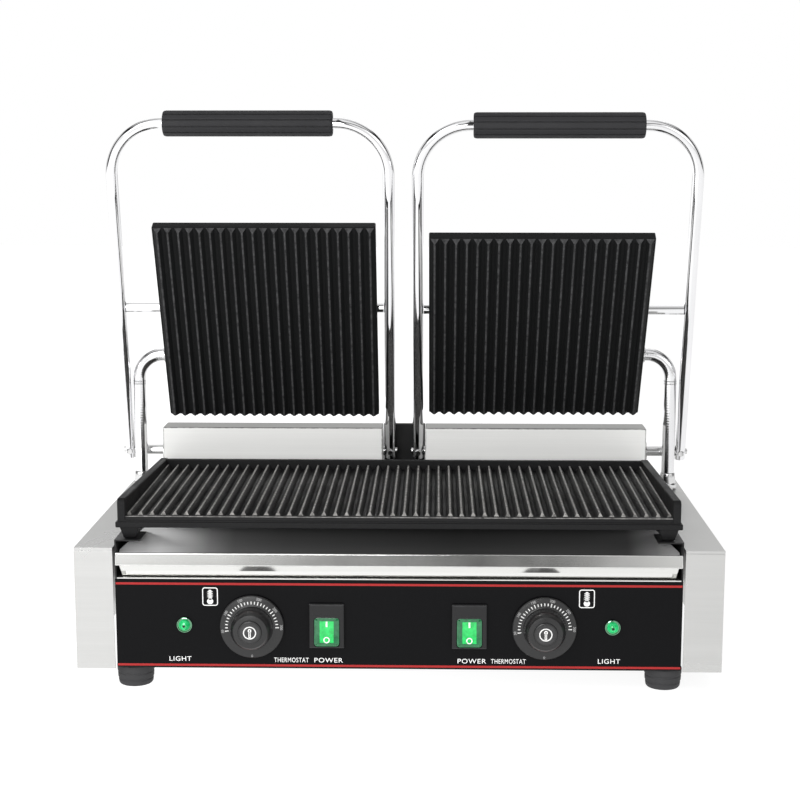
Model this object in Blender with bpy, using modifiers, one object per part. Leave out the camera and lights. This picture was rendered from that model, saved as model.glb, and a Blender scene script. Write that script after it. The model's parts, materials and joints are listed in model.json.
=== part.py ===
"""Double panini press: an electric contact grill with two hinged, self-levelling upper heads.

Metres, +Z up, the front towards -Y and "left" on the -X side. The origin is on the table,
under the middle of the whole grill. Every piece is modelled from the body's front plane,
which the base_frame empty carries.
"""
import math

import bmesh
import bpy
from mathutils import Matrix, Vector

# Driving dimensions, in metres
FRONT_TO_ORIGIN = 0.1505
GAP = 0.0003
SHEET = 0.0012
HALF_WIDTH = 0.2813
BODY_DEPTH = 0.305
BODY_BOTTOM = 0.018
BODY_TOP = 0.1264
PILLAR_WIDTH = 0.0337
PANEL_HALF_WIDTH = 0.246
PANEL_TOP = 0.0983
TUB_HALF_WIDTH = 0.2462

PLATE_HALF_WIDTH = 0.2435
PLATE_WALL_INNER = 0.2363
PLATE_BACK_WALL = 0.2295
PLATE_FRONT = 0.005
PLATE_BACK = 0.2356
PLATE_BOTTOM = 0.1435
RIB_ROOT = 0.150
RIB_TIP = 0.155
RIB_PITCH = 0.010
RIB_TOP_WIDTH = 0.0012
RIB_BASE_WIDTH = 0.0076
LOWER_RIBS = 48
UPPER_RIBS = 21
UPPER_RIB_HEIGHT = 0.0036

BOX_INNER = 0.0215
BOX_OUTER = 0.2425
BOX_FRONT = 0.246
BOX_TOP = 0.1898

PIVOT_Y = 0.272
PIVOT_Z = 0.1625
LEG_INNER_X = 0.0140
LEG_OUTER_X = 0.2803
TUBE_RADIUS = 0.0055
AXLE_RADIUS = 0.005
HANDLE_HEIGHT = 0.3347
HANDLE_BEND = 0.050
LEG_TAIL = 0.008
HANDLE_LEAN = {"left": math.radians(11.9), "right": math.radians(13.4)}
HEAD_LEAN = {"left": math.radians(24.3), "right": math.radians(30.5)}

ROD_HEIGHT = 0.152
HEAD_CENTRE_X = 0.1304
HEAD_SIZE = 0.2106
HEAD_FACE = 0.036
HEAD_PLATE_BACK = 0.022
COVER_HALF_WIDTH = 0.098
COVER_HALF_HEIGHT = 0.098
COVER_BACK_HALF_HEIGHT = 0.066
COVER_BACK = 0.018

HOSE_X = 0.2665
HOSE_RADIUS = 0.0065
HOSE_BEND = 0.024
HOSE_STRAIGHT = 0.001
HOSE_START = 0.1433
HEAD_GLAND_Y = -0.005
HEAD_GLAND_Z = -0.052
HEAD_GLAND_LENGTH = 0.012

FOOT_X = 0.233
FOOT_FRONT_Y = 0.019
FOOT_BACK_Y = 0.285

KNOB_X = 0.127
KNOB_Z = 0.057
LAMP_X = 0.186
LAMP_Z = 0.058
SWITCH_X = 0.062
SWITCH_BOTTOM = 0.038
SWITCH_HEIGHT = 0.040
SWITCH_WIDTH = 0.0306
ROCKER_Z = 0.0523
ROCKER_PIVOT_Y = 0.003
ROCKER_TILT = math.radians(7.0)

ROUND_SIDES = 24
SIDES = {"left": -1.0, "right": 1.0}


# Scene helpers

def clear_scene():
    for thing in list(bpy.data.objects):
        bpy.data.objects.remove(thing, do_unlink=True)


def new_collection(name):
    collection = bpy.data.collections.new(name)
    bpy.context.scene.collection.children.link(collection)
    return collection


def finish(name, colour, roughness, metallic=0.0):
    material = bpy.data.materials.new(name)
    material.use_nodes = True
    shader = material.node_tree.nodes["Principled BSDF"]
    shader.inputs["Base Color"].default_value = (*colour, 1.0)
    shader.inputs["Roughness"].default_value = roughness
    shader.inputs["Metallic"].default_value = metallic
    return material


clear_scene()
PARTS = new_collection("panini_press")
CUTTERS = new_collection("cutters")

FINISHES = {
    "stainless": ((0.62, 0.62, 0.61), 0.32, 1.0),
    "chrome": ((0.74, 0.75, 0.76), 0.10, 1.0),
    "steel": ((0.45, 0.45, 0.46), 0.38, 1.0),
    "cast_iron": ((0.012, 0.012, 0.013), 0.55, 0.0),
    "black_paint": ((0.015, 0.015, 0.016), 0.45, 0.0),
    "gloss_black": ((0.009, 0.009, 0.011), 0.12, 0.0),
    "satin_black": ((0.024, 0.024, 0.026), 0.38, 0.0),
    "rubber": ((0.028, 0.029, 0.031), 0.70, 0.0),
    "green_plastic": ((0.015, 0.42, 0.10), 0.25, 0.0),
    "ceramic": ((0.62, 0.58, 0.50), 0.60, 0.0),
}


def place(name, mesh, look, parent):
    """Link a mesh or curve as one named sub-part, with a finish of its own."""
    piece = bpy.data.objects.new(name, mesh)
    PARTS.objects.link(piece)
    piece.parent = parent
    mesh.materials.append(finish(name + "_finish", *FINISHES[look]))
    return piece


def as_cutter(piece):
    """Turn a piece into a guide that only booleans read."""
    PARTS.objects.unlink(piece)
    CUTTERS.objects.link(piece)
    piece.hide_render = True
    piece.display_type = "WIRE"
    return piece


def empty(name, parent, location, lean=0.0):
    frame = bpy.data.objects.new(name, None)
    PARTS.objects.link(frame)
    frame.parent = parent
    frame.location = location
    frame.rotation_euler.x = lean
    return frame


def mesh_from(bm, name):
    mesh = bpy.data.meshes.new(name)
    bm.to_mesh(mesh)
    bm.free()
    return mesh


def box(name, low, high, look, parent):
    """A block between two corners."""
    low, high = Vector(low), Vector(high)
    bm = bmesh.new()
    stretch = Matrix.Diagonal((*(high - low), 1.0))
    bmesh.ops.create_cube(bm, size=1.0, matrix=Matrix.Translation((low + high) / 2) @ stretch)
    return place(name, mesh_from(bm, name), look, parent)


def rod(name, radius, start, end, look, parent, sides=ROUND_SIDES, end_radius=None):
    """A round bar, or a cone when end_radius differs, from start to end."""
    start, end = Vector(start), Vector(end)
    along = end - start
    bm = bmesh.new()
    turn = along.to_track_quat("Z", "Y").to_matrix().to_4x4()
    bmesh.ops.create_cone(
        bm, cap_ends=True, cap_tris=False, segments=sides,
        radius1=radius, radius2=radius if end_radius is None else end_radius,
        depth=along.length, matrix=Matrix.Translation((start + end) / 2) @ turn)
    mesh = mesh_from(bm, name)
    smooth(mesh)
    return place(name, mesh, look, parent)


def smooth(mesh, angle=40.0):
    mesh.shade_smooth()
    mesh.set_sharp_from_angle(angle=math.radians(angle))


def prism(name, outline, low, high, axis, look, parent):
    """An outline extruded along X or Y; its points are the two other coordinates, in order."""
    place_point = {
        "X": lambda a, b, t: (t, a, b),
        "Y": lambda a, b, t: (a, t, b),
    }[axis]
    bm = bmesh.new()
    face = bm.faces.new([bm.verts.new(place_point(a, b, low)) for a, b in outline])
    grown = bmesh.ops.extrude_face_region(bm, geom=[face])
    corners = [item for item in grown["geom"] if isinstance(item, bmesh.types.BMVert)]
    bmesh.ops.translate(bm, verts=corners, vec=place_point(0.0, 0.0, high - low))
    bmesh.ops.recalc_face_normals(bm, faces=bm.faces)
    return place(name, mesh_from(bm, name), look, parent)


def turned(name, profile, look, parent, location=(0, 0, 0), turn_x=0.0, steps=ROUND_SIDES):
    """A solid of revolution about local Z; the profile is (radius, height), top to bottom."""
    mesh = bpy.data.meshes.new(name)
    points = [(radius, 0.0, height) for radius, height in profile]
    edges = [(i, i + 1) for i in range(len(points) - 1)]
    mesh.from_pydata(points, edges, [])
    piece = place(name, mesh, look, parent)
    piece.location = location
    piece.rotation_euler.x = turn_x
    screw = piece.modifiers.new("turn", "SCREW")
    screw.steps = steps
    screw.render_steps = steps
    screw.use_merge_vertices = True
    screw.merge_threshold = 0.00001
    screw.use_smooth_shade = True
    return piece


def tube(name, points, radius, look, parent, resolution=2):
    """A round tube or wire through points, with closed ends."""
    curve = bpy.data.curves.new(name, "CURVE")
    curve.dimensions = "3D"
    curve.bevel_depth = radius
    curve.bevel_resolution = resolution
    curve.use_fill_caps = True
    spline = curve.splines.new("POLY")
    spline.points.add(len(points) - 1)
    for slot, point in zip(spline.points, points):
        slot.co = (*point, 1.0)
    return place(name, curve, look, parent)


def as_mesh(piece):
    """Replace a curve object by its closed mesh, so that it can be cut."""
    name, look, parent = piece.name, piece.data.materials[0], piece.parent
    bpy.context.view_layer.update()
    evaluated = piece.evaluated_get(bpy.context.evaluated_depsgraph_get())
    mesh = bpy.data.meshes.new_from_object(evaluated)
    world = piece.matrix_world.copy()
    bpy.data.objects.remove(piece, do_unlink=True)
    bm = bmesh.new()
    bm.from_mesh(mesh)
    bmesh.ops.remove_doubles(bm, verts=bm.verts, dist=0.00001)
    bm.to_mesh(mesh)
    bm.free()
    solid = bpy.data.objects.new(name, mesh)
    PARTS.objects.link(solid)
    solid.parent = parent
    solid.matrix_world = world
    mesh.materials.clear()
    mesh.materials.append(look)
    return solid


def boolean(piece, tool, operation):
    step = piece.modifiers.new(operation.lower(), "BOOLEAN")
    step.operation = operation
    step.solver = "EXACT"
    step.object = as_cutter(tool)


def cut(piece, *tools):
    for tool in tools:
        boolean(piece, tool, "DIFFERENCE")


def join(piece, *others):
    for other in others:
        boolean(piece, other, "UNION")


def bevel(piece, width, segments=1, angle=30.0):
    step = piece.modifiers.new("edges", "BEVEL")
    step.width = width
    step.segments = segments
    step.limit_method = "ANGLE"
    step.angle_limit = math.radians(angle)


def hollow(piece, open_sides, thickness=SHEET):
    """Make a solid a folded sheet inside its outer faces, without the faces on the open sides."""
    directions = {
        "-X": (-1, 0, 0), "+X": (1, 0, 0), "-Y": (0, -1, 0),
        "+Y": (0, 1, 0), "-Z": (0, 0, -1), "+Z": (0, 0, 1),
    }
    bm = bmesh.new()
    bm.from_mesh(piece.data)
    bm.normal_update()
    gone = [face for face in bm.faces
            if any(face.normal.dot(Vector(directions[side])) > 0.9 for side in open_sides)]
    bmesh.ops.delete(bm, geom=gone, context="FACES")
    bm.to_mesh(piece.data)
    bm.free()
    wall = piece.modifiers.new("wall", "SOLIDIFY")
    wall.thickness = thickness
    wall.offset = -1.0
    wall.use_even_offset = True
    return piece


def rib_outline(count, base, tip):
    """The outline of a row of tapered ribs, as (across, height), standing on a flat base."""
    half = count * RIB_PITCH / 2
    outline = [(half, base - 0.0015), (-half, base - 0.0015), (-half, base)]
    for index in range(count):
        middle = (index - (count - 1) / 2) * RIB_PITCH
        outline += [
            (middle - RIB_BASE_WIDTH / 2, base),
            (middle - RIB_TOP_WIDTH / 2, tip),
            (middle + RIB_TOP_WIDTH / 2, tip),
            (middle + RIB_BASE_WIDTH / 2, base),
        ]
    outline.append((half, base))
    return outline


# Body

def make_chassis(base):
    chassis = box("chassis", (-TUB_HALF_WIDTH, 0.0035, BODY_BOTTOM), (TUB_HALF_WIDTH, 0.3025, 0.1245),
                  "black_paint", base)
    hollow(chassis, ("+Z", "-Y"))
    for side, sign in SIDES.items():
        outer = sign * TUB_HALF_WIDTH
        inner = sign * (TUB_HALF_WIDTH - SHEET)
        lip = sign * 0.224
        wall = box("rail_wall_" + side, (min(outer, inner), 0.0035, 0.120),
                   (max(outer, inner), 0.232, 0.1328), "black_paint", base)
        shelf = box("rail_shelf_" + side, (min(outer, lip), 0.0035, 0.1316),
                    (max(outer, lip), 0.232, 0.1328), "black_paint", base)
        join(chassis, wall, shelf)


def make_side_cover(base, side, sign):
    inner = sign * (HALF_WIDTH - PILLAR_WIDTH)
    outer = sign * HALF_WIDTH
    cover = box("side_cover_" + side, (min(inner, outer), 0.0, BODY_BOTTOM),
                (max(inner, outer), BODY_DEPTH, BODY_TOP), "stainless", base)
    hollow(cover, ("-Z", "+X" if sign < 0 else "-X"))
    bevel(cover, 0.0005)


def make_control_panel(base):
    panel = box("control_panel", (-PANEL_HALF_WIDTH, 0.001, 0.0195),
                (PANEL_HALF_WIDTH, 0.003, PANEL_TOP), "gloss_black", base)
    for side, sign in SIDES.items():
        shaft_hole = rod("shaft_hole_" + side, 0.0036, (sign * KNOB_X, -0.01, KNOB_Z),
                         (sign * KNOB_X, 0.01, KNOB_Z), "gloss_black", base)
        lamp_hole = rod("lamp_hole_" + side, 0.0056, (sign * LAMP_X, -0.01, LAMP_Z),
                        (sign * LAMP_X, 0.01, LAMP_Z), "gloss_black", base)
        window = box("switch_window_" + side,
                     (sign * SWITCH_X - 0.0138, -0.01, SWITCH_BOTTOM + 0.0012),
                     (sign * SWITCH_X + 0.0138, 0.01, SWITCH_BOTTOM + SWITCH_HEIGHT - 0.0012),
                     "gloss_black", base)
        cut(panel, shaft_hole, lamp_hole, window)


def make_tray_shelf(base):
    shelf = box("tray_shelf", (-0.2446, 0.0008, 0.0986), (0.2446, 0.2318, 0.0998), "stainless", base)
    bevel(shelf, 0.0003)


def make_rear_cover(base):
    cover = box("rear_cover", (-0.2473, 0.2330, 0.0192), (0.2473, BODY_DEPTH, BODY_TOP), "stainless", base)
    hollow(cover, ("-Z", "-Y", "-X", "+X"))
    cable_hole = rod("cable_hole", 0.0085, (-0.190, 0.29, 0.045), (-0.190, 0.32, 0.045),
                     "stainless", base)
    cut(cover, cable_hole)


def make_foot(base, name, x, y):
    height = BODY_BOTTOM - GAP
    profile = [(0.0, height), (0.0165, height), (0.0160, 0.006), (0.0150, 0.0015), (0.0140, 0.0), (0.0, 0.0)]
    turned(name, profile, "rubber", base, (x, y, 0.0))


def make_feet(base):
    for side, sign in SIDES.items():
        make_foot(base, "foot_front_" + side, sign * FOOT_X, FOOT_FRONT_Y)
        make_foot(base, "foot_back_" + side, sign * FOOT_X, FOOT_BACK_Y)


# Drip tray and cooking plate

def make_drip_tray(base):
    tray = box("drip_tray", (-0.238, 0.0022, 0.1010), (0.238, 0.150, 0.1115), "stainless", base)
    hollow(tray, ("+Z",), thickness=0.0010)
    lip = box("tray_lip", (-0.245, -0.0012, 0.1108), (0.245, 0.0026, 0.1220), "stainless", base)
    bevel(lip, 0.0006)
    slope_outline = [(0.0005, 0.1125), (0.0458, 0.1370), (0.0452, 0.1380), (0.0005, 0.1137)]
    slope = prism("tray_slope", slope_outline, -0.218, 0.218, "X", "stainless", base)
    join(tray, lip, slope)
    for side, sign in SIDES.items():
        end_outline = [(0.0015, 0.1100), (0.0220, 0.1100), (0.0220, 0.1255), (0.0120, 0.1265),
                       (0.0015, 0.1200)]
        start, stop = sorted((sign * 0.2360, sign * 0.2378))
        join(tray, prism("tray_end_" + side, end_outline, start, stop, "X", "stainless", base))


def make_lower_plate(base):
    """Cast cooking plate: an open-fronted pan with ribs along Y and a corner boss at each foot."""
    plate = box("lower_plate", (-PLATE_HALF_WIDTH, PLATE_FRONT, PLATE_BOTTOM),
                (PLATE_HALF_WIDTH, PLATE_BACK, RIB_ROOT), "cast_iron", base)
    flange = box("plate_flange", (-0.245, PLATE_FRONT - 0.0012, PLATE_BOTTOM),
                 (0.245, 0.040, 0.1485), "cast_iron", base)
    lip = prism("plate_lip", [(PLATE_FRONT + 0.0004, 0.147), (0.0125, 0.147), (0.0118, 0.1530),
                              (0.0062, 0.1535)], -0.240, 0.240, "X", "cast_iron", base)
    back = box("plate_back_wall", (-0.243, PLATE_BACK_WALL, 0.147), (0.243, PLATE_BACK - 0.0002, 0.160),
               "cast_iron", base)
    join(plate, flange, lip, back)
    for side, sign in SIDES.items():
        wall_outline = [(PLATE_FRONT + 0.0002, 0.147), (PLATE_BACK - 0.0001, 0.147),
                        (PLATE_BACK - 0.0001, 0.1606), (PLATE_FRONT + 0.0002, 0.1690)]
        start, stop = sorted((sign * PLATE_WALL_INNER, sign * (PLATE_HALF_WIDTH - 0.0001)))
        join(plate, prism("plate_wall_" + side, wall_outline, start, stop, "X", "cast_iron", base))
        for end, y in (("front", 0.0145), ("back", 0.2180)):
            join(plate, rod("plate_boss_" + side + "_" + end, 0.0125, (sign * 0.2335, y, 0.145),
                            (sign * 0.2335, y, 0.1331), "cast_iron", base, sides=4, end_radius=0.0075))
    ribs = prism("lower_ribs", rib_outline(LOWER_RIBS, RIB_ROOT, RIB_TIP), 0.0128,
                 PLATE_BACK_WALL + 0.0006, "Y", "cast_iron", base)
    wedge = prism("lower_rib_ends", [(0.0100, 0.1502), (0.0134, 0.1502), (0.0200, 0.1568),
                                     (0.0200, 0.1600), (0.0100, 0.1600)], -0.25, 0.25, "X",
                  "cast_iron", base)
    cut(ribs, wedge)
    join(plate, ribs)


def serpentine(half_width, half_depth, runs, bend_steps=3):
    """The centre line of a heating element: parallel runs joined by half-round bends."""
    spacing = 2 * half_depth / (runs - 1)
    radius = spacing / 2
    points = []
    for run in range(runs):
        across = half_width - radius
        turn = 1.0 if run % 2 == 0 else -1.0
        level = -half_depth + run * spacing
        points.append((-turn * across, level))
        points.append((turn * across, level))
        if run < runs - 1:
            for step in range(1, bend_steps):
                angle = math.pi * step / bend_steps
                points.append((turn * (across + radius * math.sin(angle)),
                               level + radius * (1 - math.cos(angle))))
    return points


def make_lower_heaters(base):
    reflector = box("heat_reflector", (-0.215, 0.060, 0.1280), (0.215, 0.225, 0.1290), "steel", base)
    bevel(reflector, 0.0003)
    for side, sign in SIDES.items():
        route = [(sign * 0.118 + x, 0.140 + y, 0.1398) for x, y in serpentine(0.085, 0.060, 4)]
        tube("lower_heater_" + side, route, 0.0032, "steel", base)


# Hinge boxes, axles and springs

def make_hinge_box(base, side, sign):
    inner, outer = sorted((sign * BOX_INNER, sign * BOX_OUTER))
    outline = [(BOX_FRONT, BODY_TOP + GAP), (BOX_FRONT, BOX_TOP), (0.276, BOX_TOP),
               (0.300, 0.160), (0.300, BODY_TOP + GAP)]
    name = "hinge_box_" + side
    case = prism(name, outline, inner, outer, "X", "stainless", base)
    hollow(case, ("-Z",))
    bevel(case, 0.0004)
    for wall, wall_x, radius in (("inner", BOX_INNER, AXLE_RADIUS + 0.0005), ("outer", BOX_OUTER, 0.0083)):
        cut(case, rod("axle_hole_" + wall + "_" + side, radius, (sign * (wall_x - 0.005), PIVOT_Y, PIVOT_Z),
                      (sign * (wall_x + 0.005), PIVOT_Y, PIVOT_Z), "stainless", base))


def make_axle_bush(base, side, sign):
    """A flanged sleeve in the outer wall of the hinge box."""
    flange = rod("axle_bush_" + side, 0.0110, (sign * (BOX_OUTER + GAP), PIVOT_Y, PIVOT_Z),
                 (sign * (BOX_OUTER + 0.003), PIVOT_Y, PIVOT_Z), "steel", base)
    sleeve = rod("bush_sleeve_" + side, 0.0079, (sign * (BOX_OUTER - 0.008), PIVOT_Y, PIVOT_Z),
                 (sign * (BOX_OUTER + 0.002), PIVOT_Y, PIVOT_Z), "steel", base)
    bore = rod("bush_bore_" + side, AXLE_RADIUS + 0.0003, (sign * (BOX_OUTER - 0.020), PIVOT_Y, PIVOT_Z),
               (sign * (BOX_OUTER + 0.020), PIVOT_Y, PIVOT_Z), "steel", base)
    join(flange, sleeve)
    cut(flange, bore)


def make_spring(base, side, sign):
    """The torsion spring round the axle that carries most of the head's weight."""
    turns, per_turn, radius, pitch = 4, 8, 0.0092, 0.0046
    middle = sign * 0.110
    route = [(middle - 0.012, PIVOT_Y - 0.022, PIVOT_Z + radius)]
    for step in range(turns * per_turn + 1):
        angle = 2 * math.pi * step / per_turn
        route.append((middle - 0.012 + pitch * step / per_turn,
                      PIVOT_Y + radius * math.sin(angle),
                      PIVOT_Z + radius * math.cos(angle)))
    route.append((route[-1][0], PIVOT_Y + 0.016, PIVOT_Z + radius))
    tube("spring_" + side, route, 0.0013, "steel", base)


def make_centre_bracket(base):
    back = box("centre_bracket", (-0.0210, 0.2840, BODY_TOP + GAP), (0.0210, 0.2900, 0.1875),
               "black_paint", base)
    foot = box("bracket_foot", (-0.0210, 0.2400, BODY_TOP + GAP), (0.0210, 0.2860, 0.1310),
               "black_paint", base)
    web = box("bracket_web", (-0.0035, 0.2440, 0.1300), (0.0035, 0.2860, 0.1500), "black_paint", base)
    join(back, foot, web)


# Handles: each turns about its axle

def make_handle(pivot, side, sign):
    """The bent tube, in a frame at the pivot with its legs along local Z."""
    half = (LEG_OUTER_X - LEG_INNER_X) / 2
    arc = [math.radians(angle) for angle in range(0, 91, 15)]
    corner_x = half - HANDLE_BEND
    corner_z = HANDLE_HEIGHT - HANDLE_BEND
    route = [(-half, 0.0, -LEG_TAIL)]
    route += [(-corner_x - HANDLE_BEND * math.cos(a), 0.0, corner_z + HANDLE_BEND * math.sin(a)) for a in arc]
    route += [(corner_x + HANDLE_BEND * math.sin(a), 0.0, corner_z + HANDLE_BEND * math.cos(a)) for a in arc]
    route.append((half, 0.0, -LEG_TAIL))
    handle = as_mesh(tube("handle_" + side, route, TUBE_RADIUS, "chrome", pivot, resolution=3))
    smooth(handle.data)
    for end, x in (("inner", -sign * half), ("outer", sign * half)):
        hole = rod("bolt_hole_" + side + "_" + end, 0.0034, (x - 0.02, 0, 0), (x + 0.02, 0, 0),
                   "chrome", pivot)
        cut(handle, hole)
    make_grip(pivot, side)
    make_pivot_bolts(pivot, side, sign, half)
    reach = half - TUBE_RADIUS - GAP
    rod("axle_" + side, AXLE_RADIUS, (-reach, 0, 0), (reach, 0, 0), "steel", pivot)
    rod("head_rod_" + side, AXLE_RADIUS, (-reach, 0, ROD_HEIGHT), (reach, 0, ROD_HEIGHT), "chrome", pivot)


def make_grip(pivot, side):
    """The ribbed rubber sleeve on the crossbar."""
    half_length = 0.0805
    ridge, groove, ridges = 0.0122, 0.0110, 16
    outline = []
    for index in range(ridges):
        for part, radius in ((0.0, ridge), (0.5, ridge), (0.6, groove), (0.9, groove)):
            angle = 2 * math.pi * (index + part) / ridges
            outline.append((radius * math.cos(angle), HANDLE_HEIGHT + radius * math.sin(angle)))
    grip = prism("grip_" + side, outline, -half_length, half_length, "X", "rubber", pivot)
    bore = rod("grip_bore_" + side, TUBE_RADIUS + GAP + 0.0001, (-0.1, 0, HANDLE_HEIGHT),
               (0.1, 0, HANDLE_HEIGHT), "rubber", pivot)
    cut(grip, bore)


def make_pivot_bolts(pivot, side, sign, half):
    for end, direction in (("inner", -sign), ("outer", sign)):
        leg = direction * half
        face = leg + direction * (TUBE_RADIUS + GAP)
        head = rod("pivot_bolt_" + end + "_" + side, 0.0050, (face, 0, 0), (face + direction * 0.0036, 0, 0),
                   "chrome", pivot, sides=6)
        shank = rod("bolt_shank_" + end + "_" + side, 0.0030, (face + direction * 0.001, 0, 0),
                    (leg - direction * (TUBE_RADIUS + GAP - 0.0003), 0, 0), "chrome", pivot, sides=12)
        join(head, shank)


# Heads: each tilts on the rod that its handle carries

def make_upper_plate(tilt, side):
    half = HEAD_SIZE / 2
    root, tip = HEAD_FACE - UPPER_RIB_HEIGHT, HEAD_FACE
    slab = box("upper_plate_" + side, (-half, -root, -half), (half, -HEAD_PLATE_BACK, half),
               "cast_iron", tilt)
    bevel(slab, 0.0010)
    outline = [(across, -depth) for across, depth in rib_outline(UPPER_RIBS, root, tip)]
    bm = bmesh.new()
    low = -half + 0.0003
    face = bm.faces.new([bm.verts.new((a, b, low)) for a, b in outline])
    grown = bmesh.ops.extrude_face_region(bm, geom=[face])
    corners = [item for item in grown["geom"] if isinstance(item, bmesh.types.BMVert)]
    bmesh.ops.translate(bm, verts=corners, vec=(0, 0, HEAD_SIZE - 0.0006))
    bmesh.ops.recalc_face_normals(bm, faces=bm.faces)
    name = "upper_ribs_" + side
    ribs = place(name, mesh_from(bm, name), "cast_iron", tilt)
    wedge = prism("upper_rib_ends_" + side,
                  [(-root - 0.0002, half + 0.001), (-root - 0.0002, half - 0.0010),
                   (-tip - 0.002, half - 0.0078), (-tip - 0.002, half + 0.001)],
                  -0.12, 0.12, "X", "cast_iron", tilt)
    cut(ribs, wedge)
    join(slab, ribs)


def make_head_cover(tilt, side, sign):
    """The stainless back of the head: a shallow box whose top and bottom slope in."""
    front = -HEAD_PLATE_BACK + GAP
    outline = [(front, -COVER_HALF_HEIGHT), (-0.012, -COVER_HALF_HEIGHT),
               (COVER_BACK, -COVER_BACK_HALF_HEIGHT), (COVER_BACK, COVER_BACK_HALF_HEIGHT),
               (-0.012, COVER_HALF_HEIGHT), (front, COVER_HALF_HEIGHT)]
    cover = prism("head_cover_" + side, outline, -COVER_HALF_WIDTH, COVER_HALF_WIDTH, "X", "stainless", tilt)
    hollow(cover, ("-Y",))
    bevel(cover, 0.0005)
    rod_hole = rod("rod_hole_" + side, AXLE_RADIUS + 0.0004, (-0.11, 0, 0), (0.11, 0, 0), "stainless", tilt)
    wire_hole = rod("wire_hole_" + side, 0.0050, (sign * 0.08, HEAD_GLAND_Y, HEAD_GLAND_Z),
                    (sign * 0.11, HEAD_GLAND_Y, HEAD_GLAND_Z), "stainless", tilt)
    cut(cover, rod_hole, wire_hole)


def make_upper_heater(tilt, side):
    route = [(x, -0.0170, z) for x, z in serpentine(0.080, 0.066, 4)]
    tube("upper_heater_" + side, route, 0.0032, "steel", tilt)


def make_head_gland(tilt, side, sign):
    start = sign * (COVER_HALF_WIDTH + GAP)
    gland = rod("head_gland_" + side, 0.0095, (start, HEAD_GLAND_Y, HEAD_GLAND_Z),
                (start + sign * HEAD_GLAND_LENGTH, HEAD_GLAND_Y, HEAD_GLAND_Z), "chrome", tilt, sides=12)
    bevel(gland, 0.0010)


# Flexible conduits that carry the head wiring

def make_hose(base, head_origin, side, sign):
    """The conduit stands on the side cover and bends inwards to the gland on the head."""
    head_turn = Matrix.Rotation(HEAD_LEAN[side], 3, "X")
    entry = head_origin + head_turn @ Vector((0, HEAD_GLAND_Y, HEAD_GLAND_Z))
    end_x = HEAD_CENTRE_X + COVER_HALF_WIDTH + HEAD_GLAND_LENGTH + 2 * GAP
    bend_base = entry.z - HOSE_BEND - HOSE_STRAIGHT
    gland = rod("base_gland_" + side, 0.0092, (sign * HOSE_X, entry.y, BODY_TOP + GAP),
                (sign * HOSE_X, entry.y, HOSE_START - GAP), "chrome", base, sides=12, end_radius=0.0078)
    bevel(gland, 0.0010)
    rod("hose_lower_" + side, HOSE_RADIUS, (sign * HOSE_X, entry.y, HOSE_START),
        (sign * HOSE_X, entry.y, bend_base - GAP), "chrome", base, sides=16)
    route = [(sign * HOSE_X, entry.y, bend_base)]
    for step in range(7):
        angle = math.radians(15.0 * step)
        route.append((sign * (HOSE_X - HOSE_BEND * (1 - math.cos(angle))), entry.y,
                      bend_base + HOSE_STRAIGHT + HOSE_BEND * math.sin(angle)))
    route.append((sign * end_x, entry.y, entry.z))
    tube("hose_upper_" + side, route, HOSE_RADIUS, "chrome", base, resolution=4)


# Controls

def make_thermostat(base, side, sign):
    body = rod("thermostat_" + side, 0.018, (sign * KNOB_X, 0.0050, KNOB_Z), (sign * KNOB_X, 0.0340, KNOB_Z),
               "ceramic", base, sides=16)
    shaft = rod("thermostat_shaft_" + side, 0.0030, (sign * KNOB_X, 0.0060, KNOB_Z),
                (sign * KNOB_X, -0.0001, KNOB_Z), "steel", base, sides=16)
    join(body, shaft)


def make_knob(base, side, sign):
    """A skirted dial; its local Z axis is the spindle, pointing out of the panel."""
    profile = [(0.0, 0.0205), (0.0080, 0.0205), (0.0098, 0.0195), (0.0150, 0.0185), (0.0178, 0.0150),
               (0.0188, 0.0040), (0.0270, 0.0030), (0.0280, 0.0012), (0.0280, 0.0), (0.0, 0.0)]
    turned("knob_" + side, profile, "satin_black", base, (sign * KNOB_X, -0.0005, KNOB_Z),
           turn_x=math.radians(90.0), steps=32)


def make_switch(base, side, sign):
    x = sign * SWITCH_X
    top = SWITCH_BOTTOM + SWITCH_HEIGHT
    frame = box("switch_body_" + side, (x - SWITCH_WIDTH / 2, -0.0022, SWITCH_BOTTOM),
                (x + SWITCH_WIDTH / 2, 0.0007, top), "satin_black", base)
    bevel(frame, 0.0010)
    case = box("switch_case_" + side, (x - 0.0134, 0.0, SWITCH_BOTTOM + 0.0016),
               (x + 0.0134, 0.022, top - 0.0016), "satin_black", base)
    join(frame, case)
    well = box("rocker_well_" + side, (x - 0.0113, -0.010, ROCKER_Z - 0.0132),
               (x + 0.0113, 0.0110, ROCKER_Z + 0.0132), "satin_black", base)
    cut(frame, well)
    outline = [(-0.0058, -0.0110), (-0.0058, 0.0110), (0.0, 0.0126), (0.0048, 0.0090), (0.0048, -0.0090),
               (0.0, -0.0126)]
    rocker = prism("rocker_" + side, outline, -0.0108, 0.0108, "X", "green_plastic", base)
    rocker.location = (x, ROCKER_PIVOT_Y, ROCKER_Z)
    rocker.rotation_euler.x = -ROCKER_TILT
    bevel(rocker, 0.0006)


def make_lamp(base, side, sign):
    """A pilot lamp: domed lens, bezel and the stem through the panel."""
    profile = [(0.0, 0.0062), (0.0030, 0.0056), (0.0048, 0.0036), (0.0052, 0.0022), (0.0066, 0.0020),
               (0.0068, 0.0003), (0.0052, 0.0), (0.0052, -0.0180), (0.0, -0.0180)]
    turned("lamp_" + side, profile, "green_plastic", base, (sign * LAMP_X, 0.0007, LAMP_Z),
           turn_x=math.radians(90.0))


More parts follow.
